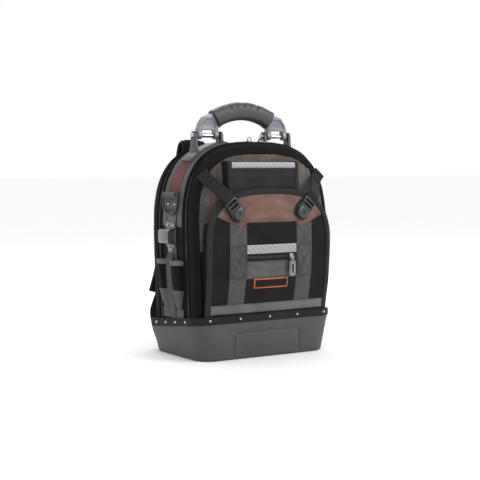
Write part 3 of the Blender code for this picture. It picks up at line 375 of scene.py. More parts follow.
ring_cloth = woven("ring_cloth", (0.0080, 0.0074, 0.0080), (0.0044, 0.0041, 0.0046), 0.0013, 0.0005, 0.88,
                   fuzz=0.01)
black_cloth = woven("black_cloth", (0.0115, 0.0107, 0.0115), (0.0064, 0.0060, 0.0066), 0.0013, 0.0005, 0.80,
                    fuzz=0.03)
coil_plastic = grained("coil_plastic", (0.020, 0.020, 0.021), (0.012, 0.012, 0.012), 1200.0, 0.0002, 0.42)
ring_stations = evenly(lambda u: body_arch(u, 0.0, -0.07), -2.0, 2.0, 0.0055)
for ring, seam, face, toward in (("front_zip_ring", SEAM_FRONT, FACE_FRONT, -1),
                                 ("rear_zip_ring", SEAM_REAR, FACE_REAR, 1)):
    line = [(0.0026, seam)] + bead(seam + toward * 0.0032, 0.0, 0.0026, toward)
    line += [(inset, seam + toward * gap) for inset, gap in
             ((0.0014, 0.0068), (0.0016, 0.0086), (0.0002, 0.0092), (0.0026, 0.0108), (0.0028, 0.0172),
              (0.0002, 0.0186))]
    line += bead(seam + toward * 0.0216, 0.0, 0.0022, toward)
    rest = abs(face - seam) - 0.0245
    for share, inset in ((0.10, 0.0010), (0.32, 0.0012), (0.58, 0.0026), (0.80, 0.0050), (0.94, 0.0082),
                         (1.00, 0.0112)):
        line.append((inset, seam + toward * (0.0245 + rest * share)))
    middle_y = face + toward * 0.0010
    line += [(0.0132, middle_y), (0.0137, middle_y + toward * 0.0012), (0.0150, middle_y + toward * 0.0021),
             (0.0164, middle_y + toward * 0.0014), (0.0168, middle_y - toward * 0.0012),
             (0.0168, face - toward * 0.0028)]
    line += [(0.0110, face - toward * 0.0050), (0.0060, face - toward * 0.0100),
             (0.0034, face - toward * 0.0180)]
    rings = []
    for u in ring_stations:
        rings.append([puffed(body_arch(u, inset, y), 0.0005) for inset, y in line])
    piece = skin(ring.replace("_ring", "_band"), rings)
    finished(piece, ring_cloth, [ring], angle=65)
    teeth = bmesh.new()
    middle = seam + toward * 0.0140
    stops = evenly(lambda u: body_arch(u, 0.002, middle), -1.97, 1.97, 0.0026)
    for u in stops:
        centre = body_arch(u, 0.0024, middle)
        ahead = (body_arch(u + 0.001, 0.0024, middle) - centre).normalized()
        out = Vector((0, 1, 0)).cross(ahead).normalized()
        tooth(teeth, lambda a, b, c: centre + ahead * a * 0.00085 + Vector((0, b * (0.0027 - 0.0006 * c), 0))
              - out * (0.0015 * c - 0.0001))
    bmesh.ops.recalc_face_normals(teeth, faces=teeth.faces)
    finished(piece_of(ring + "_teeth", teeth), coil_plastic)

# Spine: one long band of black cloth from foot to foot that joins the two rings, bound at each side in
# grey cloth, with a brown patch let in at each shoulder. Lock stitches run along every edge.
grey_cloth = woven("grey_trim", (0.120, 0.111, 0.104), (0.088, 0.082, 0.077), 0.0012, 0.0005, 0.78)
patch_brown = woven("patch_brown", (0.165, 0.062, 0.058), (0.112, 0.040, 0.037), 0.0013, 0.0005, 0.76,
                    fuzz=0.02)
dark_thread = woven("dark_thread", (0.020, 0.019, 0.020), (0.014, 0.013, 0.014), 0.0006, 0.0001, 0.70)
grey_thread = woven("grey_thread", (0.060, 0.057, 0.054), (0.040, 0.038, 0.036), 0.0006, 0.0001, 0.70)


def stitched(name, points, thread, out=(0, -1, 0), pitch=0.0042, width=0.0007):
    """A row of lock stitches along points on a face that looks out: low grains of thread end to end."""
    spots = np.array([tuple(point) for point in points])
    along = np.concatenate([[0.0], np.cumsum(np.linalg.norm(np.diff(spots, axis=0), axis=1))])
    count = max(2, int(along[-1] / pitch))
    shape = bmesh.new()
    for k in range(count):
        ends = []
        for share in ((k + 0.16) / count, (k + 0.84) / count):
            ends.append(Vector([float(np.interp(share * along[-1], along, spots[:, axis]))
                                for axis in range(3)]))
        middle = (ends[0] + ends[1]) / 2
        up = Vector(out(middle) if callable(out) else out).normalized()
        ahead = (ends[1] - ends[0]).normalized()
        aside = ahead.cross(up).normalized()
        low = [shape.verts.new(spot - up * 0.0002)
               for spot in (ends[0], middle + aside * width, ends[1], middle - aside * width)]
        rise = up * width
        high = [shape.verts.new(spot)
                for spot in (ends[0] + ahead * 0.0006 + rise * 0.7, middle + aside * width * 0.6 + rise,
                             ends[1] - ahead * 0.0006 + rise * 0.7, middle - aside * width * 0.6 + rise)]
        shape.faces.new(high)
        shape.faces.new(low[::-1])
        for j in range(4):
            shape.faces.new((low[j], low[(j + 1) % 4], high[(j + 1) % 4], high[j]))
    bmesh.ops.recalc_face_normals(shape, faces=shape.faces)
    return finished(piece_of(name, shape), thread)


def sewn(name, corners, place, thread, steps, joins=None, width=0.0007):
    """Rows of lock stitches from corner to corner: round them all, or along the joins given."""
    joins = joins or [(k, (k + 1) % len(corners)) for k in range(len(corners))]
    for number, (start, stop) in enumerate(joins):
        (a, b), (c, d) = corners[start], corners[stop]
        row = [place(a + (c - a) * k / steps, b + (d - b) * k / steps) for k in range(steps + 1)]
        stitched("%s_%d" % (name, number), row, thread, pitch=0.0034, width=width)


def around(middle):
    """Outwards from the body's arch."""
    return (middle.x * 0.9, 0.0, max(0.0, middle.z - BODY_SPRING) * 1.1 + 0.0001)


spine_stations = evenly(lambda u: body_arch(u, 0.0, -0.007), -2.0, 2.0, 0.006)
spine_line = [(0.0021, -0.0490), (0.0016, -0.0400), (0.0014, -0.0070), (0.0016, 0.0260), (0.0021, 0.0350),
              (0.0048, 0.0350), (0.0048, -0.0490)]
spine = skin("spine_cloth", [[puffed(body_arch(u, inset, y), 0.0005) for inset, y in spine_line]
                             for u in spine_stations])
finished(spine, black_cloth, ["spine_band"])
trim_stations = evenly(lambda u: body_arch(u, 0.0, -0.007), -0.98, 0.98, 0.006)
for trim, low, high in (("front_trim", -0.0490, -0.0263), ("rear_trim", 0.0123, 0.0350)):
    trim_line = [(0.0014, low), (0.0001, low + 0.0007), (-0.0001, low + 0.0020), (-0.0001, high - 0.0020),
                 (0.0001, high - 0.0007), (0.0014, high)]
    rings = [[puffed(body_arch(u, inset, y), 0.0004) for inset, y in trim_line] for u in trim_stations]
    finished(skin(trim + "_cloth", rings), grey_cloth, [trim])
    for edge, y in (("front", low + 0.0032), ("rear", high - 0.0032)):
        stitched("%s_%s_stitches" % (trim, edge), [body_arch(u, -0.0003, y) for u in trim_stations],
                 grey_thread, around)
for patch, start, stop in (("left_side_patch", -0.81, -0.47), ("right_side_patch", 0.47, 0.81)):
    patch_stations = evenly(lambda u: body_arch(u, 0.0, -0.007), start, stop, 0.005)
    patch_line = [(0.0014, -0.0259), (0.0001, -0.0252), (-0.0003, -0.0200), (-0.0004, -0.0070),
                  (-0.0003, 0.0060), (0.0001, 0.0112), (0.0014, 0.0119)]
    rings = [[puffed(body_arch(u, inset, y), 0.0004) for inset, y in patch_line] for u in patch_stations]
    finished(skin(patch + "_cloth", rings), patch_brown, [patch])

# Panels: a taupe front panel gathered a little under the top seam, plain black cloth below it, and a
# thick padded back, quilted in channels, where the pack lies against the wearer.
taupe_cloth = woven("taupe_cloth", (0.165, 0.142, 0.125), (0.097, 0.081, 0.071), 0.0013, 0.0006, 0.74)


def half_at(z, half, foot_half, spring, top, power, foot):
    """Half width of an arch at a height."""
    if z <= spring:
        return half - (half - foot_half) * (spring - z) / (spring - foot)
    return half * max(0.0, 1 - ((z - spring) / (top - spring)) ** power) ** (1 / power)


def panelled(name, levels, columns, half, place, wall):
    """A sewn panel: a grid of points across each level, with the cloth's thickness behind it."""
    grid = bmesh.new()
    rows = [[grid.verts.new(place(side * half(z), z, side)) for side in columns] for z in levels]
    for row, following in zip(rows, rows[1:]):
        for k in range(len(row) - 1):
            grid.faces.new((row[k], row[k + 1], following[k + 1], following[k]))
    piece = piece_of(name, grid)
    worked(piece, "cloth_wall", "SOLIDIFY", thickness=wall, offset=-1.0)
    return piece


def spaced(low, high, count):
    """Values evenly apart from low to high."""
    return [low + (high - low) * k / count for k in range(count + 1)]


def panel_half(z):
    """Half width of the panels inside the zip rings."""
    return half_at(z, BODY_HALF - 0.0151, BODY_FOOT - 0.0151, BODY_SPRING, BODY_TOP - 0.0227, BODY_POWER, 0.080)


def upper_place(x, z, side):
    top_edge = math.exp(-max(0.0, BODY_TOP - 0.0235 - z - 0.9 * abs(x) ** 3 * 40) / 0.020)
    gather = 0.0011 * math.sin(x * 420.0 + 3.0 * noise.noise(Vector((x * 30, 0, z * 30)))) * min(1.0, top_edge)
    swell = 0.0016 * (1 - side * side)
    return Vector((x, leaning(FACE_FRONT, z) - swell - gather + 0.0006 * noise.noise(Vector((x * 25, 3,
            z * 25))), z))


upper_levels = spaced(0.2285, 0.36, 30) + spaced(0.36, BODY_TOP - 0.0240, 34)[1:]
upper = panelled("upper_panel_cloth", upper_levels, spaced(-1, 1, 90), panel_half, upper_place, 0.0020)
finished(upper, taupe_cloth, ["upper_front_panel"], angle=60)


def lower_place(x, z, side):
    return Vector((x, FACE_FRONT - 0.0010 * (1 - side * side) + 0.0008 * noise.noise(Vector((x * 20, 5,
            z * 20))), z))


lower = panelled("lower_panel_cloth", spaced(0.0845, 0.2283, 30), spaced(-1, 1, 40), panel_half, lower_place,
                 0.0020)
finished(lower, black_cloth, ["lower_front_panel"], angle=60)

# Front pocket: one wide panel of black cloth that swells out from its foot, gussets at both sides, and
# its arched edge bound in black tape. Flat straps, the zip and the trims are all sewn on to its face.
POCKET_HALF, POCKET_SPRING, POCKET_TOP, POCKET_POWER, POCKET_FOOT = 0.153, 0.235, 0.3555, 2.9, 0.0952
POCKET_DEPTH, POCKET_CROWN = 0.0340, 0.006


def pocket_face(x, z, proud=0.0):
    """A point on the pocket's face at x and height z, standing proud of it."""
    share = min(1.0, max(0.0, (z - POCKET_FOOT) / (POCKET_TOP - POCKET_FOOT)))
    swell = sum(float(np.interp(share + shift, (0.0, 0.26, 0.53, 1.0), (0.44, 0.84, 0.95, 1.0)))
                for shift in (-0.06, -0.03, 0.0, 0.03, 0.06)) / 5
    y = FACE_FRONT - POCKET_DEPTH * swell + POCKET_CROWN * (x / POCKET_HALF) ** 2 * swell
    return Vector((x, leaning(y - proud, z), z))


def pocket_arch(u, inset, offset):
    """A point on the pocket's arched edge: u from -2 to 2, inset from it and offset behind the face."""
    side = -1 if u < 0 else 1
    half = POCKET_HALF - inset
    if abs(u) > 1:
        x, z = half - 0.002 * (abs(u) - 1), POCKET_SPRING + (POCKET_FOOT - POCKET_SPRING) * (abs(u) - 1)
    else:
        angle = abs(u) * math.pi / 2
        x = half * math.sin(angle) ** (2 / POCKET_POWER)
        z = POCKET_SPRING + (POCKET_TOP - POCKET_SPRING - inset) * math.cos(angle) ** (2 / POCKET_POWER)
    spot = pocket_face(side * x, z)
    return Vector((spot.x, spot.y + offset, spot.z))


def pocket_half(z):
    return half_at(z, POCKET_HALF - 0.0004, POCKET_HALF - 0.0024, POCKET_SPRING, POCKET_TOP - 0.0004,
                   POCKET_POWER, POCKET_FOOT)


def pocket_place(x, z, side):
    ripple = 0.0010 * noise.noise(Vector((x * 22, 7, z * 22))) * (1 - side ** 4)
    return pocket_face(x, z, ripple)


pocket_levels = spaced(POCKET_FOOT, 0.335, 52) + spaced(0.335, POCKET_TOP - 0.0012, 12)[1:]
pocket = panelled("pocket_cloth", pocket_levels, spaced(-1, 1, 60), pocket_half, pocket_place, 0.0022)
finished(pocket, black_cloth, ["pocket_front"], angle=60)

gusset_shares = (0.0, 0.15, 0.3, 0.5, 0.7, 0.85, 1.0)
side_stations = [u for u in evenly(lambda u: pocket_arch(u, 0.0, 0.0), -1.99, 1.99, 0.006) if abs(u) >= 0.78]
for side, label in ((-1, "left"), (1, "right")):
    rings = []
    for u in [u for u in side_stations if u * side > 0]:
        ring = []
        for inset, shares in ((0.0012, gusset_shares), (0.0030, gusset_shares[::-1])):
            front = pocket_arch(u, inset, 0.0029)
            rear = leaning(FACE_FRONT - 0.0009, front.z)
            ring += [(front.x - side * 0.0042 * math.sin(math.pi * share) ** 1.5, front.y
                      + (rear - front.y) * share, front.z) for share in shares]
        rings.append(ring)
    finished(skin("pocket_gusset_" + label, rings), black_cloth,
             ["pocket_gusset"] if side < 0 else (), angle=60)

binding_tape = woven("binding_tape", (0.026, 0.0255, 0.0265), (0.017, 0.0165, 0.0175), 0.0010, 0.0004, 0.74)
tape_line = ((-0.0006, 0.0024), (-0.0026, 0.0024), (-0.0032, 0.0012), (-0.0033, -0.0004), (-0.0026, -0.0016),
             (-0.0010, -0.0021), (0.0040, -0.0021), (0.0078, -0.0019), (0.0088, -0.0013), (0.0089, -0.0004),
             (0.0020, -0.0004), (-0.0006, -0.0002))
edge_stations = evenly(lambda u: pocket_arch(u, 0.0, 0.0), -1.998, 1.998, 0.005)
rings = [[puffed(pocket_arch(u, inset, offset), 0.0003) for inset, offset in tape_line] for u in edge_stations]
finished(skin("pocket_edge_tape", rings), binding_tape, ["pocket_binding"], angle=60)
stitched("pocket_edge_stitches", [pocket_arch(u, 0.0072, -0.0022) for u in edge_stations], dark_thread)

# Trims on the pocket: a brown yoke with two points, two flat grey straps with a cross-stitched square
# on each, a grey band along the foot, the zip with its reflective strip, and a bare woven label.
grey_webbing = woven("grey_webbing", (0.158, 0.159, 0.155), (0.112, 0.113, 0.110), 0.0010, 0.0005, 0.76,
                     rib=0.0022)
upright_grey = woven("upright_grey", (0.080, 0.081, 0.078), (0.056, 0.057, 0.055), 0.0010, 0.0005, 0.76,
                     rib=0.0022)
grey_patch = woven("grey_patch", (0.098, 0.098, 0.095), (0.068, 0.068, 0.066), 0.0010, 0.0004, 0.76, rib=0.0022)


def laid(name, columns, bottom, top, proud, thick, rows=10, edge=0.0012):
    """Cloth lying on the pocket's face: edges turned down, a slight crown across, closed behind."""
    inside = [x for x in columns if min(columns) + edge < x < max(columns) - edge]
    low, high = min(columns), max(columns)
    xs = sorted({low, low + edge * 0.4, low + edge, high - edge, high - edge * 0.4, high, *inside})
    rings = []
    for x in xs:
        start, stop = (limit(x) if callable(limit) else limit for limit in (bottom, top))
        heights = [start, start + edge * 0.4, start + edge] + spaced(start + edge, stop - edge, rows)[1:-1]
        heights += [stop - edge, stop - edge * 0.4, stop]
        rim = min(1.0, (0.15 + min(x - low, high - x) / edge))
        outer = []
        for z in heights:
            lift = min(rim, 0.15 + min(z - start, stop - z) / edge, 1.0)
            wave = 0.00025 * noise.noise(Vector((x * 60, proud * 900, z * 60)))
            outer.append(pocket_face(x, z, proud + thick * lift ** 0.5 + wave * lift))
        inner = [pocket_face(x, z, proud - 0.0004) for z in reversed(heights)]
        rings.append(inner + outer)
    return skin(name, rings)


def yoke_low(x):
    """The yoke's lower edge, with a point over each strap."""
    across = abs(x)
    if across <= 0.0615:
        return 0.2879
    if across <= 0.0755:
        return 0.2879 - 0.0110 * (across - 0.0615) / 0.0140
    return 0.2769 + 0.0240 * (across - 0.0755) / 0.0555


def yoke_high(x):
    """The yoke's upper edge, along the binding's arch."""
    share = min(1.0, abs(x) / (POCKET_HALF - 0.0088))
    rise = (1 - share ** POCKET_POWER) ** (1 / POCKET_POWER)
    return POCKET_SPRING + (POCKET_TOP - POCKET_SPRING - 0.0088) * rise


yoke_columns = spaced(-0.1315, 0.1315, 76) + [-0.0755, -0.0615, 0.0615, 0.0755]
brown_cloth = woven("brown_cloth", (0.197, 0.114, 0.095), (0.133, 0.072, 0.060), 0.0013, 0.0005, 0.70)
finished(laid("yoke_cloth", sorted(yoke_columns), yoke_low, yoke_high, 0.0004, 0.0013),
         brown_cloth, ["pocket_yoke"], angle=50)
for gap in (0.0018, 0.0062):
    row = [pocket_face(x, yoke_low(x) + gap, 0.0018) for x in spaced(-0.127, 0.127, 120)]
    stitched("yoke_stitches_%d" % (gap * 10000), row, dark_thread)
band_low, band_high = 0.0974, 0.1170
band_columns = spaced(-0.1417, 0.1417, 36)
finished(laid("foot_band_webbing", band_columns, band_low, band_high, 0.0004, 0.0013, rows=4),
         grey_webbing, ["foot_band"])
for gap in (0.0020, 0.0180):
    stitched("foot_band_stitches_%d" % (gap * 10000), [pocket_face(x, band_low + gap, 0.0018)
                                                       for x in spaced(-0.139, 0.139, 60)], grey_thread)
for side, label in ((-1, "left"), (1, "right")):
    inner, outer = side * 0.0635, side * 0.1035
    columns = spaced(min(inner, outer), max(inner, outer), 6)
    finished(laid("strap_webbing_" + label, columns, 0.1172, lambda x: yoke_low(x) - 0.0003, 0.0004, 0.0013,
                  rows=28), upright_grey, ["webbing_" + label])
    finished(laid("cross_patch_" + label, columns, 0.1700, 0.2420, 0.0020, 0.0012),
             upright_grey, ["box_patch_" + label])
    a, b = min(inner, outer) + 0.0030, max(inner, outer) - 0.0030
    corners = [(a, 0.1732), (b, 0.1732), (b, 0.2388), (a, 0.2388)]
    sewn("cross_stitches_" + label, corners, lambda x, z: pocket_face(x, z, 0.0033), dark_thread, 20,
         [(0, 1), (1, 2), (2, 3), (3, 0), (0, 2), (1, 3)], 0.0010)

tape_silver, shader = fresh("reflective_tape")
where = added(tape_silver, "TexCoord", {}).outputs["Object"]
# The tape's colour runs lighter and darker in wavy diagonal bands: a painted sheen.
painted_sheen_stripes = added(tape_silver, "TexWave", {"Scale": 55.0, "Distortion": 1.2}, (where, "Vector"),
                bands_direction="DIAGONAL")
beads = added(tape_silver, "TexVoronoi", {"Scale": 1400.0}, (where, "Vector"))
sparkle = added(tape_silver, "Bump", {"Strength": 0.25, "Distance": 0.0003}, (beads.outputs["Distance"],
        "Height"))
painted_shine = ramped(tape_silver, painted_sheen_stripes.outputs["Fac"], (0.22, 0.225, 0.23), (0.31, 0.315, 0.32))
fed(tape_silver, shader, {"Metallic": 0.25, "Roughness": 0.42}, (painted_shine, "Base Color"),
    (sparkle.outputs["Normal"], "Normal"))

between = spaced(-0.0632, 0.0632, 26)
finished(laid("zip_panel_webbing", between, 0.1700, 0.2075, 0.0004, 0.0013),
         grey_patch, ["zip_panel"])
for height in (0.1722, 0.2054):
    stitched("zip_panel_stitches_%d" % (height * 10000), [pocket_face(x, height, 0.0018)
                                                          for x in spaced(-0.061, 0.061, 30)], dark_thread)
for name, low, high, proud, thick, rows, slot, finish, nodes in (
        ("reflective_strip", 0.2221, 0.2411, 0.0004, 0.0013, 10, "reflective_tape", tape_silver,
         ["pocket_reflector"]),
        ("zip_tape", 0.2079, 0.2218, 0.0002, 0.0006, 10, "black_webbing", black_webbing, ["pocket_zip"]),
        ("zip_lip_upper", 0.2178, 0.2223, 0.0012, 0.0010, 3, "black_cloth", black_cloth, ()),
        ("zip_lip_lower", 0.2072, 0.2108, 0.0012, 0.0010, 3, "black_cloth", black_cloth, ())):
    finished(laid(name, between, low, high, proud, thick, rows=rows), finish, nodes)
coil = bmesh.new()
for k in range(52):
    centre = pocket_face(-0.0630 + 0.126 * (k + 0.5) / 52, 0.2148, 0.0008)
    for z, tilt in ((0.0016, 0.0), (-0.0016, 0.0012)):
        tooth(coil, lambda a, b, c: (centre.x + tilt + a * 0.00075, centre.y - 0.0012 * c,
                                     centre.z + z + b * (0.0018 - 0.0004 * c)))
bmesh.ops.recalc_face_normals(coil, faces=coil.faces)
finished(piece_of("pocket_zip_teeth", coil), coil_plastic)

nickel = grained("worn_nickel", (0.30, 0.28, 0.26), (0.17, 0.16, 0.15), 1300.0, 0.0001, 0.30, metallic=1.0)
slider = made_from("zip_slider", "pocket_slider")
bevelled(slider, 0.0006)
finished(slider, polished, ["zip_slider"])
pull = made_from("zip_pull", "pocket_pull")
bevelled(pull, 0.0007)
finished(pull, nickel, ["zip_pull"], body="pull")
low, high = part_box("zip_pull")


def slot_line(reach, length):
    """A long slot's outline on the pull's face."""
    turns = [2 * math.pi * k / 32 for k in range(32)]
    return [(0.047 + reach * math.sin(turn), low[2] + 0.0160 + reach * math.cos(turn)
             + math.copysign(length, math.cos(turn))) for turn in turns]


rings = [[(ox, low[1] + 0.0004, oz), (ox, low[1] - 0.0005, oz), (ix, low[1] - 0.0005, iz),
          (ix, low[1] + 0.0004, iz)] for (ox, oz), (ix, iz) in zip(slot_line(0.0047, 0.0075),
                                                                   slot_line(0.0034, 0.0075))]
finished(skin("pull_rim", rings, closed=True), polished, body="pull")
rings = [[(x, low[1] - shift, z) for x, z in slot_line(0.0034, 0.0075)] for shift in (-0.0003, 0.0002)]
finished(skin("pull_slot", rings), coil_plastic, body="pull")

orange_thread = woven("orange_edge", (0.58, 0.135, 0.045), (0.44, 0.095, 0.032), 0.0008, 0.0004, 0.66)
label_columns = spaced(-0.043, 0.043, 20)
finished(laid("label_edge", label_columns, 0.1487, 0.1697, 0.0004, 0.0012, rows=6),
         orange_thread, ["pocket_label"])
finished(laid("label_field", spaced(-0.0402, 0.0402, 20), 0.1514, 0.1670, 0.0015, 0.0004, rows=6, edge=0.0006),
         black_cloth)

# Meter pouch: a box of stiff black cloth sewn to the taupe panel, its flap bound with tape and carrying
# a reflective strip, closed over the mouth and down the front.
POUCH_HALF, POUCH_LOW, POUCH_TOP, POUCH_SHIFT = 0.087, 0.338, 0.413, -0.012
POUCH_BACK, POUCH_FRONT = -0.0938, -0.1183


def pouch_spot(x, y, z, wander=0.0007):
    return puffed((POUCH_SHIFT + x, leaning(y, z), z), wander, 30.0)


rings = []
for inset, z in ((0.0010, POUCH_LOW), (0.0, POUCH_LOW + 0.0015), (0.0, 0.350), (0.0004, 0.362), (0.0004, 0.375),
                 (0.0, 0.390), (0.0, POUCH_TOP - 0.0004), (0.0019, POUCH_TOP - 0.0004), (0.0020, 0.390),
                 (0.0020, 0.350), (0.0020, POUCH_LOW + 0.0025)):
    half, front, back = POUCH_HALF - inset, POUCH_FRONT + inset, POUCH_BACK - inset
    plan = [(-half, back), (-half + 0.0016, (front + back) / 2), (-half, front + 0.0035),
            (-half + 0.0010, front + 0.0010), (-half + 0.0035, front)]
    plan += [(x, front) for x in spaced(-0.06, 0.06, 12)]
    plan += [(half - 0.0035, front), (half - 0.0010, front + 0.0010), (half, front + 0.0035),
             (half - 0.0016, (front + back) / 2), (half, back)]
    rings.append([pouch_spot(x, y, z) for x, y in plan])
finished(skin("pouch_cloth", rings), black_cloth, ["meter_pouch"], angle=50)


def flap_line(lift):
    """The flap's run from the panel, over the mouth and down the front, lift outside its inner face."""
    top, front = POUCH_TOP + 0.0005 + lift, POUCH_FRONT - 0.0004 - lift
    line = [(POUCH_BACK + 0.0002, top), (-0.1010, top + 0.0003), (-0.1090, top + 0.0002)]
    line += [(front + 0.0025, top - 0.0002), (front + 0.0007, top - 0.0009), (front, top - 0.0030)]
    return line + [(front - 0.0004 * math.sin(math.pi * k / 12),
                    top - 0.003 - (top - 0.0064 - POUCH_LOW) * k / 12) for k in range(1, 13)]


flap_half = POUCH_HALF + 0.0010
rings = []
flap_columns = [-flap_half, -flap_half + 0.0006] + spaced(-flap_half + 0.002, flap_half - 0.002, 44)
for x in flap_columns + [flap_half - 0.0006, flap_half]:
    thin = 0.0013 if abs(x) > flap_half - 0.0003 else 0.0019
    inner = [pouch_spot(x, y, z, 0.0005) for y, z in flap_line(0.0)]
    outer = [pouch_spot(x, y, z, 0.0005) for y, z in flap_line(thin)]
    rings.append(inner + outer[::-1])
flap_cloth = woven("flap_cloth", (0.026, 0.025, 0.027), (0.016, 0.0155, 0.0165), 0.0013, 0.0005, 0.78)
finished(skin("flap_cloth", rings), flap_cloth, ["pouch_flap"], angle=50)
for side, label in ((-1, "left"), (1, "right")):
    rings = []
    for y, z in flap_line(0.0021):
        a, b = POUCH_SHIFT + side * (flap_half + 0.0006), POUCH_SHIFT + side * (flap_half - 0.0090)
        low_y = leaning(y, z)
        rings.append([(a, low_y + 0.0016, z - 0.0008), (a, low_y - 0.0004, z + 0.0002),
                      (a - side * 0.0010, low_y - 0.0010, z + 0.0006),
                      (b + side * 0.0010, low_y - 0.0010, z + 0.0006), (b, low_y - 0.0002, z),
                      (b, low_y + 0.0008, z - 0.0006)])
    finished(skin("flap_edge_tape_" + label, rings), binding_tape, angle=60)
    stitched("flap_edge_stitches_" + label, [(POUCH_SHIFT + side * (flap_half - 0.0078), leaning(y, z) - 0.0011,
                                              z) for y, z in flap_line(0.0021)[5:]], dark_thread)
rings = []
for x in spaced(-0.0848, 0.0848, 30):
    section = []
    for y, z in ((0.0, 0.4010), (0.0010, 0.4016), (0.0012, 0.4030), (0.0012, 0.4115), (0.0009, 0.4132),
                 (0.0, 0.4136)):
        section.append(pouch_spot(x, POUCH_FRONT - 0.0024 - y, z, 0.0004))
    rings.append(section)
finished(skin("flap_strip", rings), tape_silver, ["flap_reflector"])
stitched("flap_strip_stitches", [(POUCH_SHIFT + x, leaning(POUCH_FRONT - 0.0036, 0.4022) - 0.0002, 0.4022)
                                 for x in spaced(-0.083, 0.083, 20)], grey_thread)

# Compression straps: flat black webbing, folded and sewn at the zip ring's shoulder, running over the
# pocket's edge to a moulded buckle in two halves on a stiff six-sided patch sewn to the yoke.
STRAP_HALF, STRAP_REACH, BUCKLE_MIDDLE = 0.014, {-1: 0.0698, 1: 0.0771}, 0.0253
buckle_plastic = grained("buckle_plastic", (0.032, 0.033, 0.036), (0.021, 0.022, 0.024), 1100.0, 0.0002, 0.34)


def strap_spot(side, along, aside, y):
    """A point of a strap or its buckle: along from the strap's top, aside of its middle, at depth y."""
    run = Vector((side * (0.087 - 0.150) - 0.006, 0, 0.315 - 0.391)).normalized()
    across = Vector((-run.z, 0, run.x)) * side
    spot = Vector((side * 0.150, 0, 0.391)) + run * along + across * aside
    return Vector((spot.x, leaning(y, spot.z), spot.z))


def strap_under(along, side):
    """Depth of the strap's underside: on the ring, down over the panel's step, then on the pocket."""
    share = along / STRAP_REACH[side]
    return sum(float(np.interp(share + shift, (0.0, 0.16, 0.55, 0.80), (-0.0958, -0.0958, -0.1179, -0.1314)))
               for shift in (-0.05, -0.025, 0.0, 0.025, 0.05)) / 5


def strapped(name, side, start, stop, half, proud, thick, steps=24):
    """A length of webbing along a compression strap's run."""
    section = ((-half, 0.1), (-half, 0.6), (-half + 0.0009, 1.0), (-half * 0.5, 1.06), (0.0, 1.1),
               (half * 0.5, 1.06), (half - 0.0009, 1.0), (half, 0.6), (half, 0.1), (0.0, 0.0))
    rings = []
    for along in spaced(start, stop, steps):
        lift = proud(along) if callable(proud) else proud
        rings.append([strap_spot(side, along, aside, strap_under(along, side) - lift - thick * share)
                      for aside, share in section])
    return skin(name, rings)


def moulded(name, side, outline, near, far, rounding=0.0009):
    """A moulded plate over the yoke: an outline of along and aside from the buckle's middle."""
    rings = [[strap_spot(side, STRAP_REACH[side] + BUCKLE_MIDDLE + along, aside, y) for along, aside in outline]
             for y in (near, far)]
    piece = skin(name, rings)
    if rounding:
        bevelled(piece, rounding, angle=20)
    return piece


def cut_out(piece, tool):
    """Takes the tool's shape out of a piece."""
    worked(piece, "cut_out", "BOOLEAN", operation="DIFFERENCE", solver="EXACT", object=tool)
    bpy.data.objects.remove(tool, do_unlink=True)


def joined(name, pieces):
    """Makes several pieces one."""
    bpy.ops.object.select_all(action="DESELECT")
    for piece in pieces:
        piece.select_set(True)
    bpy.context.view_layer.objects.active = pieces[0]
    bpy.ops.object.join()
    pieces[0].name = name
    return pieces[0]


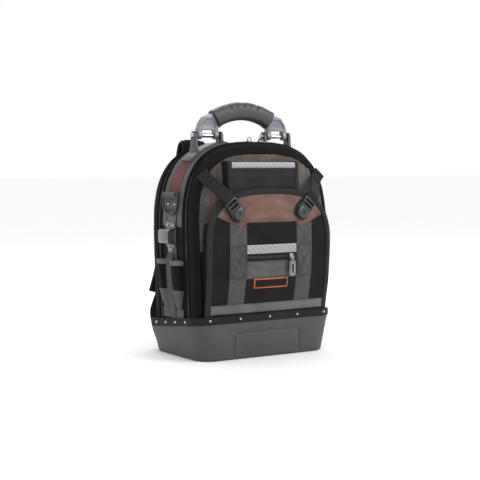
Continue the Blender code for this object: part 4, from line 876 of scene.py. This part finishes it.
for side, label in ((-1, "left"), (1, "right")):
    finished(strapped("strap_run_" + label, side, 0.0, STRAP_REACH[side] + 0.004, STRAP_HALF, 0.0, 0.0014, 34),
             black_webbing, ["strap_" + label])
    finished(strapped("strap_fold_" + label, side, -0.0015, 0.0215, STRAP_HALF + 0.0004, 0.0014, 0.0016, 12),
             black_webbing)
    finished(strapped("strap_tail_" + label, side, 0.0400, STRAP_REACH[side] + 0.0060, STRAP_HALF - 0.0004,
                      lambda along: 0.0016 + 0.0016 * math.sin(math.pi * min(1.0, (along - 0.04) / 0.038)),
                      0.0014, 16), black_webbing)
    corners = [(0.0015, -0.0115), (0.0015, 0.0115), (0.0190, 0.0115), (0.0190, -0.0115)]
    sewn("strap_stitches_" + label, corners,
         lambda along, aside: strap_spot(side, along, aside, strap_under(along, side) - 0.0032),
         grey_thread, 12)
    hexagon = [(-0.0250, -0.0148), (-0.0100, -0.0185), (0.0150, -0.0185), (0.0250, -0.0102), (0.0250, 0.0102),
               (0.0150, 0.0185), (-0.0100, 0.0185), (-0.0250, 0.0148)]
    patch = moulded("buckle_patch_cloth_" + label, side, hexagon, -0.1288, -0.1312, 0.0008)
    finished(patch, binding_tape, ["buckle_patch_" + label])
    inner = [(STRAP_REACH[side] + BUCKLE_MIDDLE + along * 0.86, aside * 0.84) for along, aside in hexagon]
    sewn("buckle_patch_stitches_" + label, inner, lambda along, aside: strap_spot(side, along, aside, -0.1313),
         dark_thread, 8)
    hook = moulded("buckle_hook", side, [(-0.0240, -0.0150), (-0.0015, -0.0135), (-0.0015, 0.0135),
                                         (-0.0240, 0.0150)], -0.1313, -0.1368, 0.0010)
    for low, high, half in ((-0.0212, -0.0150, 0.0122), (-0.0118, -0.0060, 0.0112)):
        cut_out(hook, moulded("gap", side, [(low, -half), (high, -half), (high, half), (low, half)], -0.1300,
                              -0.1380, 0.0))
    socket = moulded("buckle_socket", side, [(-0.0005, -0.0120), (0.0130, -0.0132), (0.0205, -0.0090),
                                             (0.0222, -0.0040), (0.0222, 0.0040), (0.0205, 0.0090),
                                             (0.0130, 0.0132), (-0.0005, 0.0120)], -0.1313, -0.1384, 0.0013)
    cut_out(socket, moulded("gap", side, [(0.0040, -0.0030), (0.0130, -0.0040), (0.0130, 0.0040),
                                          (0.0040, 0.0030)], -0.1366, -0.1395, 0.0))
    parts = [hook, socket]
    for edge in (-1, 1):
        parts.append(moulded("buckle_prong", side, [(-0.0030, edge * 0.0122), (0.0105, edge * 0.0142),
                                                    (0.0105, edge * 0.0162), (0.0020, edge * 0.0158),
                                                    (-0.0030, edge * 0.0148)], -0.1325, -0.1356, 0.0006))
    finished(joined("buckle_halves_" + label, parts), buckle_plastic, ["buckle_" + label])

# Carrying handle: two black moulded saddles riveted over the shoulders, a steel pin through the ears of
# each, two cast arms painted grey that swing on the pins, and a rubber grip moulded round them.
PIN_Y, PIN_Z = -0.007, 0.4705
handle_paint = grained("handle_paint", (0.225, 0.238, 0.252), (0.164, 0.175, 0.188), 1000.0, 0.0002, 0.36,
                       metallic=0.35)
for side, label in ((-1, "left"), (1, "right")):
    saddle = made_from("bracket_" + label, "saddle_" + label)
    bevelled(saddle, 0.0011, angle=28)
    finished(saddle, buckle_plastic, ["bracket_" + label])
    pin = made_from("pin_" + label, "steel_pin_" + label)
    bevelled(pin, 0.0006)
    finished(pin, polished, ["pin_" + label])
    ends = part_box("pin_" + label)
    for edge, x in ((-1, ends[0][0]), (1, ends[1][0])):
        riveted("pin_head_%s_%d" % (label, edge), (x - edge * 0.0002, PIN_Y, PIN_Z), (edge, 0, 0), 1.6)
    arm = made_from("arm_" + label, "cast_arm_" + label)
    bevelled(arm, 0.0010, angle=28)
    finished(arm, handle_paint, ["arm_" + label], body="handle")
grip_rubber = grained("grip_rubber", (0.046, 0.0465, 0.048), (0.030, 0.0305, 0.0315), 700.0, 0.0004, 0.44)
GRIP_MIDDLE, GRIP_REACH, GRIP_THICK, GRIP_CENTRE = 0.1405, 0.0195, 0.0155, 0.3835  # radii and centre
rings = []
for degrees in spaced(-30.0, 30.0, 150):
    groove = sum(math.exp(-((degrees - place) / 0.80) ** 2) for place in (-13.5, -7.0, -0.5, 6.0, 12.5))
    hump = 0.0009 * max(0.0, math.cos(math.radians((degrees + 0.5) / 6.5 * 180
                                                   + 180))) if abs(degrees) < 15 else 0.0
    flare = 0.0015 * max(0.0, (abs(degrees) - 26) / 4)
    ending = 0.0012 * max(0.0, (abs(degrees) - 29.3) / 0.7)
    ring = []
    for k in range(32):
        angle = 2 * math.pi * k / 32
        upper = min(1.0, max(0.0, (math.cos(angle) - 0.15) / 0.25))
        bulge = flare - ending + upper * (hump - 0.0028 * groove)
        out = math.copysign(abs(math.cos(angle)) ** 0.8, math.cos(angle)) * (GRIP_REACH + bulge)
        aside = math.copysign(abs(math.sin(angle)) ** 0.8, math.sin(angle)) * (GRIP_THICK
                + min(0.0, bulge) * 0.6)
        turn = math.radians(degrees)
        ring.append(((GRIP_MIDDLE + out) * math.sin(turn), PIN_Y + aside, GRIP_CENTRE
                     + (GRIP_MIDDLE + out) * math.cos(turn)))
    rings.append(ring)
finished(skin("grip_rubber", rings), grip_rubber, ["handle_grip"], angle=50, body="handle")

# Left side fittings, all on a length of grey webbing down the middle: a tab rolled over a black ring,
# a bent steel clip for a tape measure, and two open sleeves, bound at the mouth, grey at the foot.
MIDDLE = -0.007
WEBBING_SECTION = ((-1.0, 0.55), (-0.94, 0.95), (-0.5, 1.0), (0.0, 1.04), (0.5, 1.0), (0.94, 0.95), (1.0, 0.55))


def side_at(z, proud=0.0):
    """X of the left side at a height, standing proud of it."""
    return -(half_at(z, BODY_HALF, BODY_FOOT, BODY_SPRING, BODY_TOP, BODY_POWER, 0.0733) + proud)


def side_strip(name, half, levels, proud, thick):
    """Webbing down the left side: rings up it, each across its width with turned edges."""
    rings = []
    for k, z in enumerate(levels):
        thin = 0.5 if k in (0, len(levels) - 1) else 1.0
        ring = [(side_at(z, proud), MIDDLE + half, z), (side_at(z, proud), MIDDLE - half, z)]
        for across, share in WEBBING_SECTION:
            wave = 0.0002 * noise.noise(Vector((across * 3, z * 60, proud * 900)))
            ring.append((side_at(z, proud + thick * share * thin + wave), MIDDLE + half * across, z))
        rings.append(ring)
    return skin(name, rings)


finished(side_strip("side_webbing_run", 0.018, spaced(0.0860, 0.3097, 56), 0.0003, 0.0015),
         grey_webbing, ["side_webbing"])
for edge in (-1, 1):
    stitched("side_webbing_stitches_%d" % edge, [(side_at(z, 0.0020), MIDDLE + edge * 0.0155, z)
                                                 for z in spaced(0.088, 0.308, 40)], grey_thread,
             (-1, 0, 0.05))
bar_x, bar_z = -0.17961, 0.346
tab_outline = [(side_at(0.310, 0.0003), 0.310), (side_at(0.310, 0.0018), 0.3098), (side_at(0.312, 0.0024),
        0.3112), (side_at(0.320, 0.0026), 0.320), (side_at(0.330, 0.0030), 0.330), (side_at(0.336, 0.0036),
            0.336)]
tab_outline += [(bar_x + 0.0056 * math.cos(math.radians(angle)), bar_z + 0.0056 * math.sin(math.radians(angle)))
                for angle in range(235, 85, -10)]
tab_outline += [(side_at(0.349, 0.0010), 0.3496), (side_at(0.345, 0.0003), 0.345), (side_at(0.328, 0.0003),
        0.328)]
rings = [[(x, MIDDLE + y, z) for x, z in tab_outline] for y in [-0.0250, -0.0246] + spaced(-0.024, 0.024, 12)
         + [0.0246, 0.0250]]
tab = skin("ring_tab_webbing", rings)
bore = [[(bar_x + 0.0031 * math.cos(2 * math.pi * k / 20), y, bar_z + 0.0031 * math.sin(2 * math.pi * k / 20))
         for k in range(20)] for y in (-0.05, 0.04)]
cut_out(tab, skin("bore", bore))
finished(tab, grey_patch, ["ring_tab"], angle=50)
for z in (0.3125, 0.3355):
    row = [(side_at(z, 0.0032 if z < 0.32 else 0.0040), MIDDLE + y, z) for y in spaced(-0.0225, 0.0225, 12)]
    stitched("ring_tab_stitches_%d" % (z * 10000), row, dark_thread, (-1, 0, 0.1))
for y in (-0.0135, 0.0135):
    riveted("ring_tab_rivet_%d" % (y * 10000), (side_at(0.3255, 0.0028), MIDDLE + y, 0.3255), (-1, 0, 0.12),
            0.95)
RING_WIRE = 0.0024
half = 0.025 + 2 * RING_WIRE
path = [(-half, 0.0)] + [(-half * math.cos(math.pi * k / 32), -0.043 * (0.35
        + 0.65 * math.sin(math.pi * k / 32))) for k in range(33)]
path.append((half, 0.0))
rings = []
for k, corner in enumerate(path):
    arriving = (Vector(corner) - Vector(path[k - 1])).normalized()
    leaving = (Vector(path[(k + 1) % len(path)]) - Vector(corner)).normalized()
    tangent = (arriving + leaving).normalized()
    normal = Vector((tangent.y, -tangent.x)) / tangent.dot(leaving)
    ring = []
    for j in range(14):
        angle = 2 * math.pi * j / 14
        spot = Vector(corner) + normal * RING_WIRE * math.cos(angle)
        ring.append((bar_x + RING_WIRE * math.sin(angle), MIDDLE + spot.x, bar_z + spot.y))
    rings.append(ring)
finished(skin("ring_wire", rings, closed=True), buckle_plastic, ["d_ring"], angle=50,
         body="ring")
clip_steel = grained("clip_steel", (0.24, 0.24, 0.25), (0.13, 0.13, 0.135), 1300.0, 0.0001, 0.26, metallic=1.0)
clip_line = [(0.2885, 0.0), (0.2870, 0.0), (0.2800, 0.0), (0.2745, 0.0), (0.2730, 0.0012), (0.2708, 0.0150),
             (0.2700, 0.0172), (0.2686, 0.0180), (0.2640, 0.0182), (0.2580, 0.0183), (0.2515, 0.0182),
             (0.2469, 0.0180), (0.2455, 0.0172), (0.2447, 0.0150), (0.2425, 0.0012), (0.2410, 0.0),
             (0.2340, 0.0), (0.2290, 0.0), (0.2250, 0.0), (0.2235, 0.0)]
clip_half = [0.0150, 0.0178, 0.0190, 0.0200, 0.0210, 0.0210, 0.0210, 0.0210, 0.0208, 0.0206, 0.0208, 0.0210,
             0.0210, 0.0210, 0.0205, 0.0190, 0.0130, 0.0100, 0.0075, 0.0045]
rings = []
for (z, reach), wide in zip(clip_line, clip_half):
    slope = 0.0018 if 0.0005 < reach < 0.0165 else 0.0
    drop = slope if z > 0.258 else -slope
    out = 0.0018 if slope == 0.0 else 0.0004
    inner, outer = side_at(z, 0.0024 + reach), side_at(z, 0.0024 + reach + out)
    rings.append([(inner, MIDDLE - wide, z), (inner, MIDDLE + wide, z), (outer, MIDDLE + wide, z + drop),
                  (outer, MIDDLE, z + drop), (outer, MIDDLE - wide, z + drop)])
clip = skin("clip_plate", rings)
bevelled(clip, 0.0003, angle=40)
finished(clip, clip_steel, ["tool_clip"], angle=30)
for number, (y, z) in enumerate(((-0.0115, 0.2808), (0.0115, 0.2808), (0.0, 0.2312))):
    riveted("clip_rivet_%d" % number, (side_at(z, 0.0040), MIDDLE + y, z), (-1, 0, 0.02), 0.95)


SLEEVE_HEIGHTS = (0.106, 0.125, 0.145, 0.170, 0.198)
SLEEVE_BULGES = (0.25, 0.54, 0.75, 0.90, 1.0)
SLEEVE_DEPTH, SLEEVE_HALF, SLEEVE_MOUTH, SLEEVE_SEAM, PINCH = 0.020, 0.0225, 0.198, 0.0024, 0.30


def sleeve_ring(middle, z, inset):
    """The outline of a sleeve at a height: from the webbing round its bulge and back to the webbing."""
    bulge = float(np.interp(z, SLEEVE_HEIGHTS, SLEEVE_BULGES))
    wide = float(np.interp(z, SLEEVE_HEIGHTS, (0.45, 0.72, 0.92, 0.98, 1.0)))
    points = []
    for k in range(25):
        angle = math.pi * k / 24
        y = middle + (SLEEVE_HALF * wide - inset) * math.cos(angle)
        reach = (SLEEVE_DEPTH * bulge - inset - SLEEVE_SEAM) * math.sin(angle) ** 0.6 if 0 < k < 24 else 0.0
        reach *= PINCH + (1 - PINCH) * float(np.interp(abs(y - MIDDLE), (0.015, 0.022), (0.0, 1.0)))
        fold = 0.0007 * noise.noise(Vector((y * 70, z * 40, 2))) * math.sin(angle)
        points.append((side_at(z, SLEEVE_SEAM + (inset if k in (0, 24) else max(reach, inset)) + fold), y, z))
    return points


for label, middle in (("front", -0.0305), ("rear", 0.0165)):
    levels = spaced(SLEEVE_HEIGHTS[0], SLEEVE_MOUTH, 30)
    rings = [sleeve_ring(middle, z, 0.0) for z in levels]
    rings += [sleeve_ring(middle, max(z, 0.1078), 0.0018) for z in reversed(levels)]
    finished(skin("sleeve_cloth_" + label, rings), ring_cloth, ["sleeve_" + label], angle=60)
    low_levels = [0.1064, 0.1072] + spaced(0.110, 0.1440, 14) + [0.1452, 0.1458]
    rings = [sleeve_ring(middle, z, -0.0010 if 0.107 < z < 0.1455 else -0.0002) for z in low_levels]
    rings += [sleeve_ring(middle, z, 0.0002) for z in reversed(low_levels)]
    finished(skin("sleeve_foot_" + label, rings), grey_patch, angle=60)
    tape = []
    for z, inset in ((0.1984, -0.0002), (0.1990, -0.0010), (0.2010, -0.0013), (0.2060, -0.0013),
                     (0.2076, -0.0009), (0.2083, 0.0003), (0.2083, 0.0014), (0.2076, 0.0020), (0.1990, 0.0020),
                     (0.1984, 0.0016)):
        tape.append([(x, y, z) for x, y, _ in sleeve_ring(middle, SLEEVE_MOUTH, inset)])
    finished(skin("sleeve_edge_tape_" + label, tape, closed=True), grey_webbing,
             ["sleeve_%s_binding" % label], angle=60)
foot_patch = side_strip("side_foot_patch", 0.043, spaced(0.0838, 0.1055, 8), 0.0021, 0.0014)
finished(foot_patch, grey_patch)


def over_sleeves(z):
    """How far the webbing's inner face stands off the side where it pinches the two sleeves."""
    share = float(np.interp(z, SLEEVE_HEIGHTS + (0.209, 0.222), SLEEVE_BULGES + (1.0, 0.1)))
    return 0.0031 + PINCH * (SLEEVE_DEPTH * share - 0.0011) if z > 0.104 else 0.0044


rings = []
for z in spaced(0.0862, 0.2225, 60):
    near = over_sleeves(z)
    ring = [(side_at(z, near), MIDDLE + 0.0142, z), (side_at(z, near), MIDDLE - 0.0142, z)]
    for across, share in WEBBING_SECTION:
        ring.append((side_at(z, near + 0.0014 * share), MIDDLE + 0.0142 * across, z))
    rings.append(ring)
finished(skin("sleeve_webbing", rings), upright_grey)
for edge in (-1, 1):
    row = [(side_at(z, over_sleeves(z) + 0.0015), MIDDLE + edge * 0.0120, z) for z in spaced(0.088, 0.220, 30)]
    stitched("sleeve_webbing_stitches_%d" % edge, row, grey_thread, (-1, 0, 0.05))

# Back: a thick padded panel quilted in channels against the wearer, two padded straps that rise from
# it, loop over and hang down, and black webbing from the straps' ends back under to the tub.


def back_place(x, z, side):
    channel = sum(math.exp(-((z - level) / 0.0045) ** 2) for level in (0.110, 0.165, 0.220, 0.275, 0.330,
            0.385))
    spine_dip = math.exp(-(x / 0.013) ** 2)
    edge = min(1.0, (1 - abs(side)) / 0.10) ** 0.5
    top = min(1.0, max(0.0, (0.4310 - z) / 0.016)) ** 0.5
    foot = min(1.0, max(0.0, (z - 0.0715) / 0.016)) ** 0.5
    depth = 0.0112 * edge * top * foot - 0.0036 * channel * edge - 0.0028 * spine_dip * edge
    return Vector((x, 0.0856 + max(0.0008, depth), z))


back = panelled("back_pad", spaced(0.0715, 0.4308, 84), spaced(1, -1, 60), panel_half, back_place, 0.0050)
finished(back, black_cloth, ["back_panel"], angle=60)


def hung(path, spacing):
    """A path's points stood evenly apart and eased at its turns."""
    spots = np.array([tuple(point) for point in path])
    along = np.concatenate([[0.0], np.cumsum(np.linalg.norm(np.diff(spots, axis=0), axis=1))])
    count = max(4, int(along[-1] / spacing))
    even = np.stack([np.interp(np.linspace(0, along[-1], count), along, spots[:, axis]) for axis in range(3)],
                    axis=1)
    for _ in range(6):
        even[1:-1] = (even[:-2] + 2 * even[1:-1] + even[2:]) / 4
    return [Vector(point) for point in even]


def ribboned(name, path, section):
    """A strap along a path: section gives points across it and outwards, at each share of its length."""
    rings = []
    for k, point in enumerate(path):
        tangent = (path[min(k + 1, len(path) - 1)] - path[max(k - 1, 0)]).normalized()
        across = (Vector((1, 0, 0)) - tangent * tangent.x).normalized()
        outward = across.cross(tangent)
        rings.append([point + across * a + outward * b for a, b in section(k / (len(path) - 1))])
    return skin(name, rings)


def pad_section(share):
    """A stuffed pad's section: crowned between its sewn edges, closed a little more at both ends."""
    full = 0.0058 * min(1.0, 0.45 + 14 * share, 0.45 + 14 * (1 - share))
    points = []
    for k in range(28):
        angle = 2 * math.pi * k / 28
        a, b = math.cos(angle), math.sin(angle)
        wide = math.copysign(abs(a) ** 0.55, a) * 0.0292
        crown = math.copysign(abs(b) ** 0.7, b) * full
        seam = 1 - 0.32 * math.exp(-((abs(wide) - 0.0225) / 0.0020) ** 2)
        points.append((wide, crown * seam))
    return points


LOOP_HALF, STRAP_Y, STRAP_BOW = 0.0125, 0.0973, 0.042
TUB_FLOOR_DEPTH, TUB_DEPTH, TUB_FILLET = 0.214, 0.226, 0.006
edge_section = ((0.0298, -0.0014), (0.0304, 0.0), (0.0298, 0.0014), (0.0282, 0.0026), (0.0262, 0.0030),
                (0.0262, -0.0030), (0.0282, -0.0026))
loop_section = [(side * wide * LOOP_HALF, side * thick) for side in (-1, 1) for wide,
                thick in ((1.0, 0.0004), (0.96, 0.0008), (0.0, 0.0009), (-0.96, 0.0008), (-1.0, 0.0004))]
for side, label, drop in ((-1, "left", 0.0), (1, "right", 0.022)):
    hump = 0.451 - drop
    rows = [(0.393, 0.006, 0.31), (hump - 0.008, 0.006, 0.31)]
    rows += [(hump + 0.010 * math.sin(math.pi * k / 6), 0.006 + 0.010 * (1 - math.cos(math.pi * k / 6)), 0.32)
             for k in range(7)]
    rows += [(0.3933, 0.0255, 0.38), (0.3022, 0.0270, 0.53), (0.2061, 0.0330, 0.60), (0.1511, 0.0390, 0.66),
             (0.1191, 0.0420, 0.71)]
    path = hung([(side * BODY_HALF * wide, STRAP_Y + behind, z) for z, behind, wide in rows], 0.0045)
    pad = ribboned("shoulder_pad_" + label, path, pad_section)
    for vertex in pad.data.vertices:
        vertex.co = puffed(vertex.co, 0.0009, 26.0)
    finished(pad, black_cloth, ["shoulder_strap_" + label], angle=60)
    for edge in (-1, 1):
        tape = ribboned("pad_edge_tape_%s_%d" % (label, edge), path,
                        lambda share: [(edge * wide, out) for wide, out in edge_section])
        finished(tape, binding_tape, angle=60)
    start = Vector(path[-1]) + Vector((0, 0.0003, -0.0027))
    loop = [start] + [Vector((path[-1].x * wide, STRAP_Y + behind * STRAP_BOW, z * path[-1].z))
                      for wide, behind, z in ((1.14, 0.89, 0.672), (1.12, 0.68, 0.378), (1.06, 0.46, 0.126))]
    for behind, z in ((0.0070, 0.0120), (0.0014, 0.0210), (0.0014, 0.0350)):
        risen = (z - TUB_FILLET) / (RIM_HEIGHT - RIM_SLOPE * TUB_DEPTH / 2 - TUB_FILLET)
        back_y = (TUB_FLOOR_DEPTH + (TUB_DEPTH - TUB_FLOOR_DEPTH) * risen) / 2
        loop.append(Vector((1.05 * path[-1].x, back_y + behind, z)))
    webbing = ribboned("loop_webbing_" + label, hung(loop, 0.004),
                       lambda share: loop_section)
    finished(webbing, black_webbing, ["lower_webbing_" + label])

# Top of the zip: two steel sliders with standing eyes and flat pulls laid along the teeth.
for side, label in ((-1, "left"), (1, "right")):
    body = made_from("top_slider_" + label, "zip_runner_" + label)
    bevelled(body, 0.0006)
    finished(body, nickel, ["top_slider_" + label])
    low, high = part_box("top_slider_" + label)
    centre = Vector(((low[0] + high[0]) / 2, (low[1] + high[1]) / 2, high[2] + 0.0030))
    rings = []
    for k in range(24):
        angle = 2 * math.pi * k / 24
        ahead = Vector((math.cos(angle), 0, math.sin(angle)))
        rings.append([centre + ahead * (0.0044 + 0.0012 * math.cos(turn)) + Vector((0, 0.0012 * math.sin(turn),
                0)) for turn in (2 * math.pi * j / 8 for j in range(8))])
    finished(skin("runner_eye_" + label, rings, closed=True), nickel)
    rings = []
    for k in range(13):
        x = centre.x + side * (0.0040 + 0.0340 * k / 12)
        rise = (1 - abs(x / BODY_HALF) ** BODY_POWER) ** (1 / BODY_POWER)
        z = BODY_SPRING + (BODY_TOP - BODY_SPRING) * rise + 0.0022
        wide = 0.0018 if k < 2 else 0.0026 if k < 12 else 0.0018
        rings.append([(x, centre.y - wide, z), (x, centre.y + wide, z), (x, centre.y + wide, z + 0.0014),
                      (x, centre.y - wide, z + 0.0014)])
    finished(skin("runner_pull_" + label, rings), polished if side > 0 else nickel)
bpy.data.objects.remove(first_rivet, do_unlink=True)
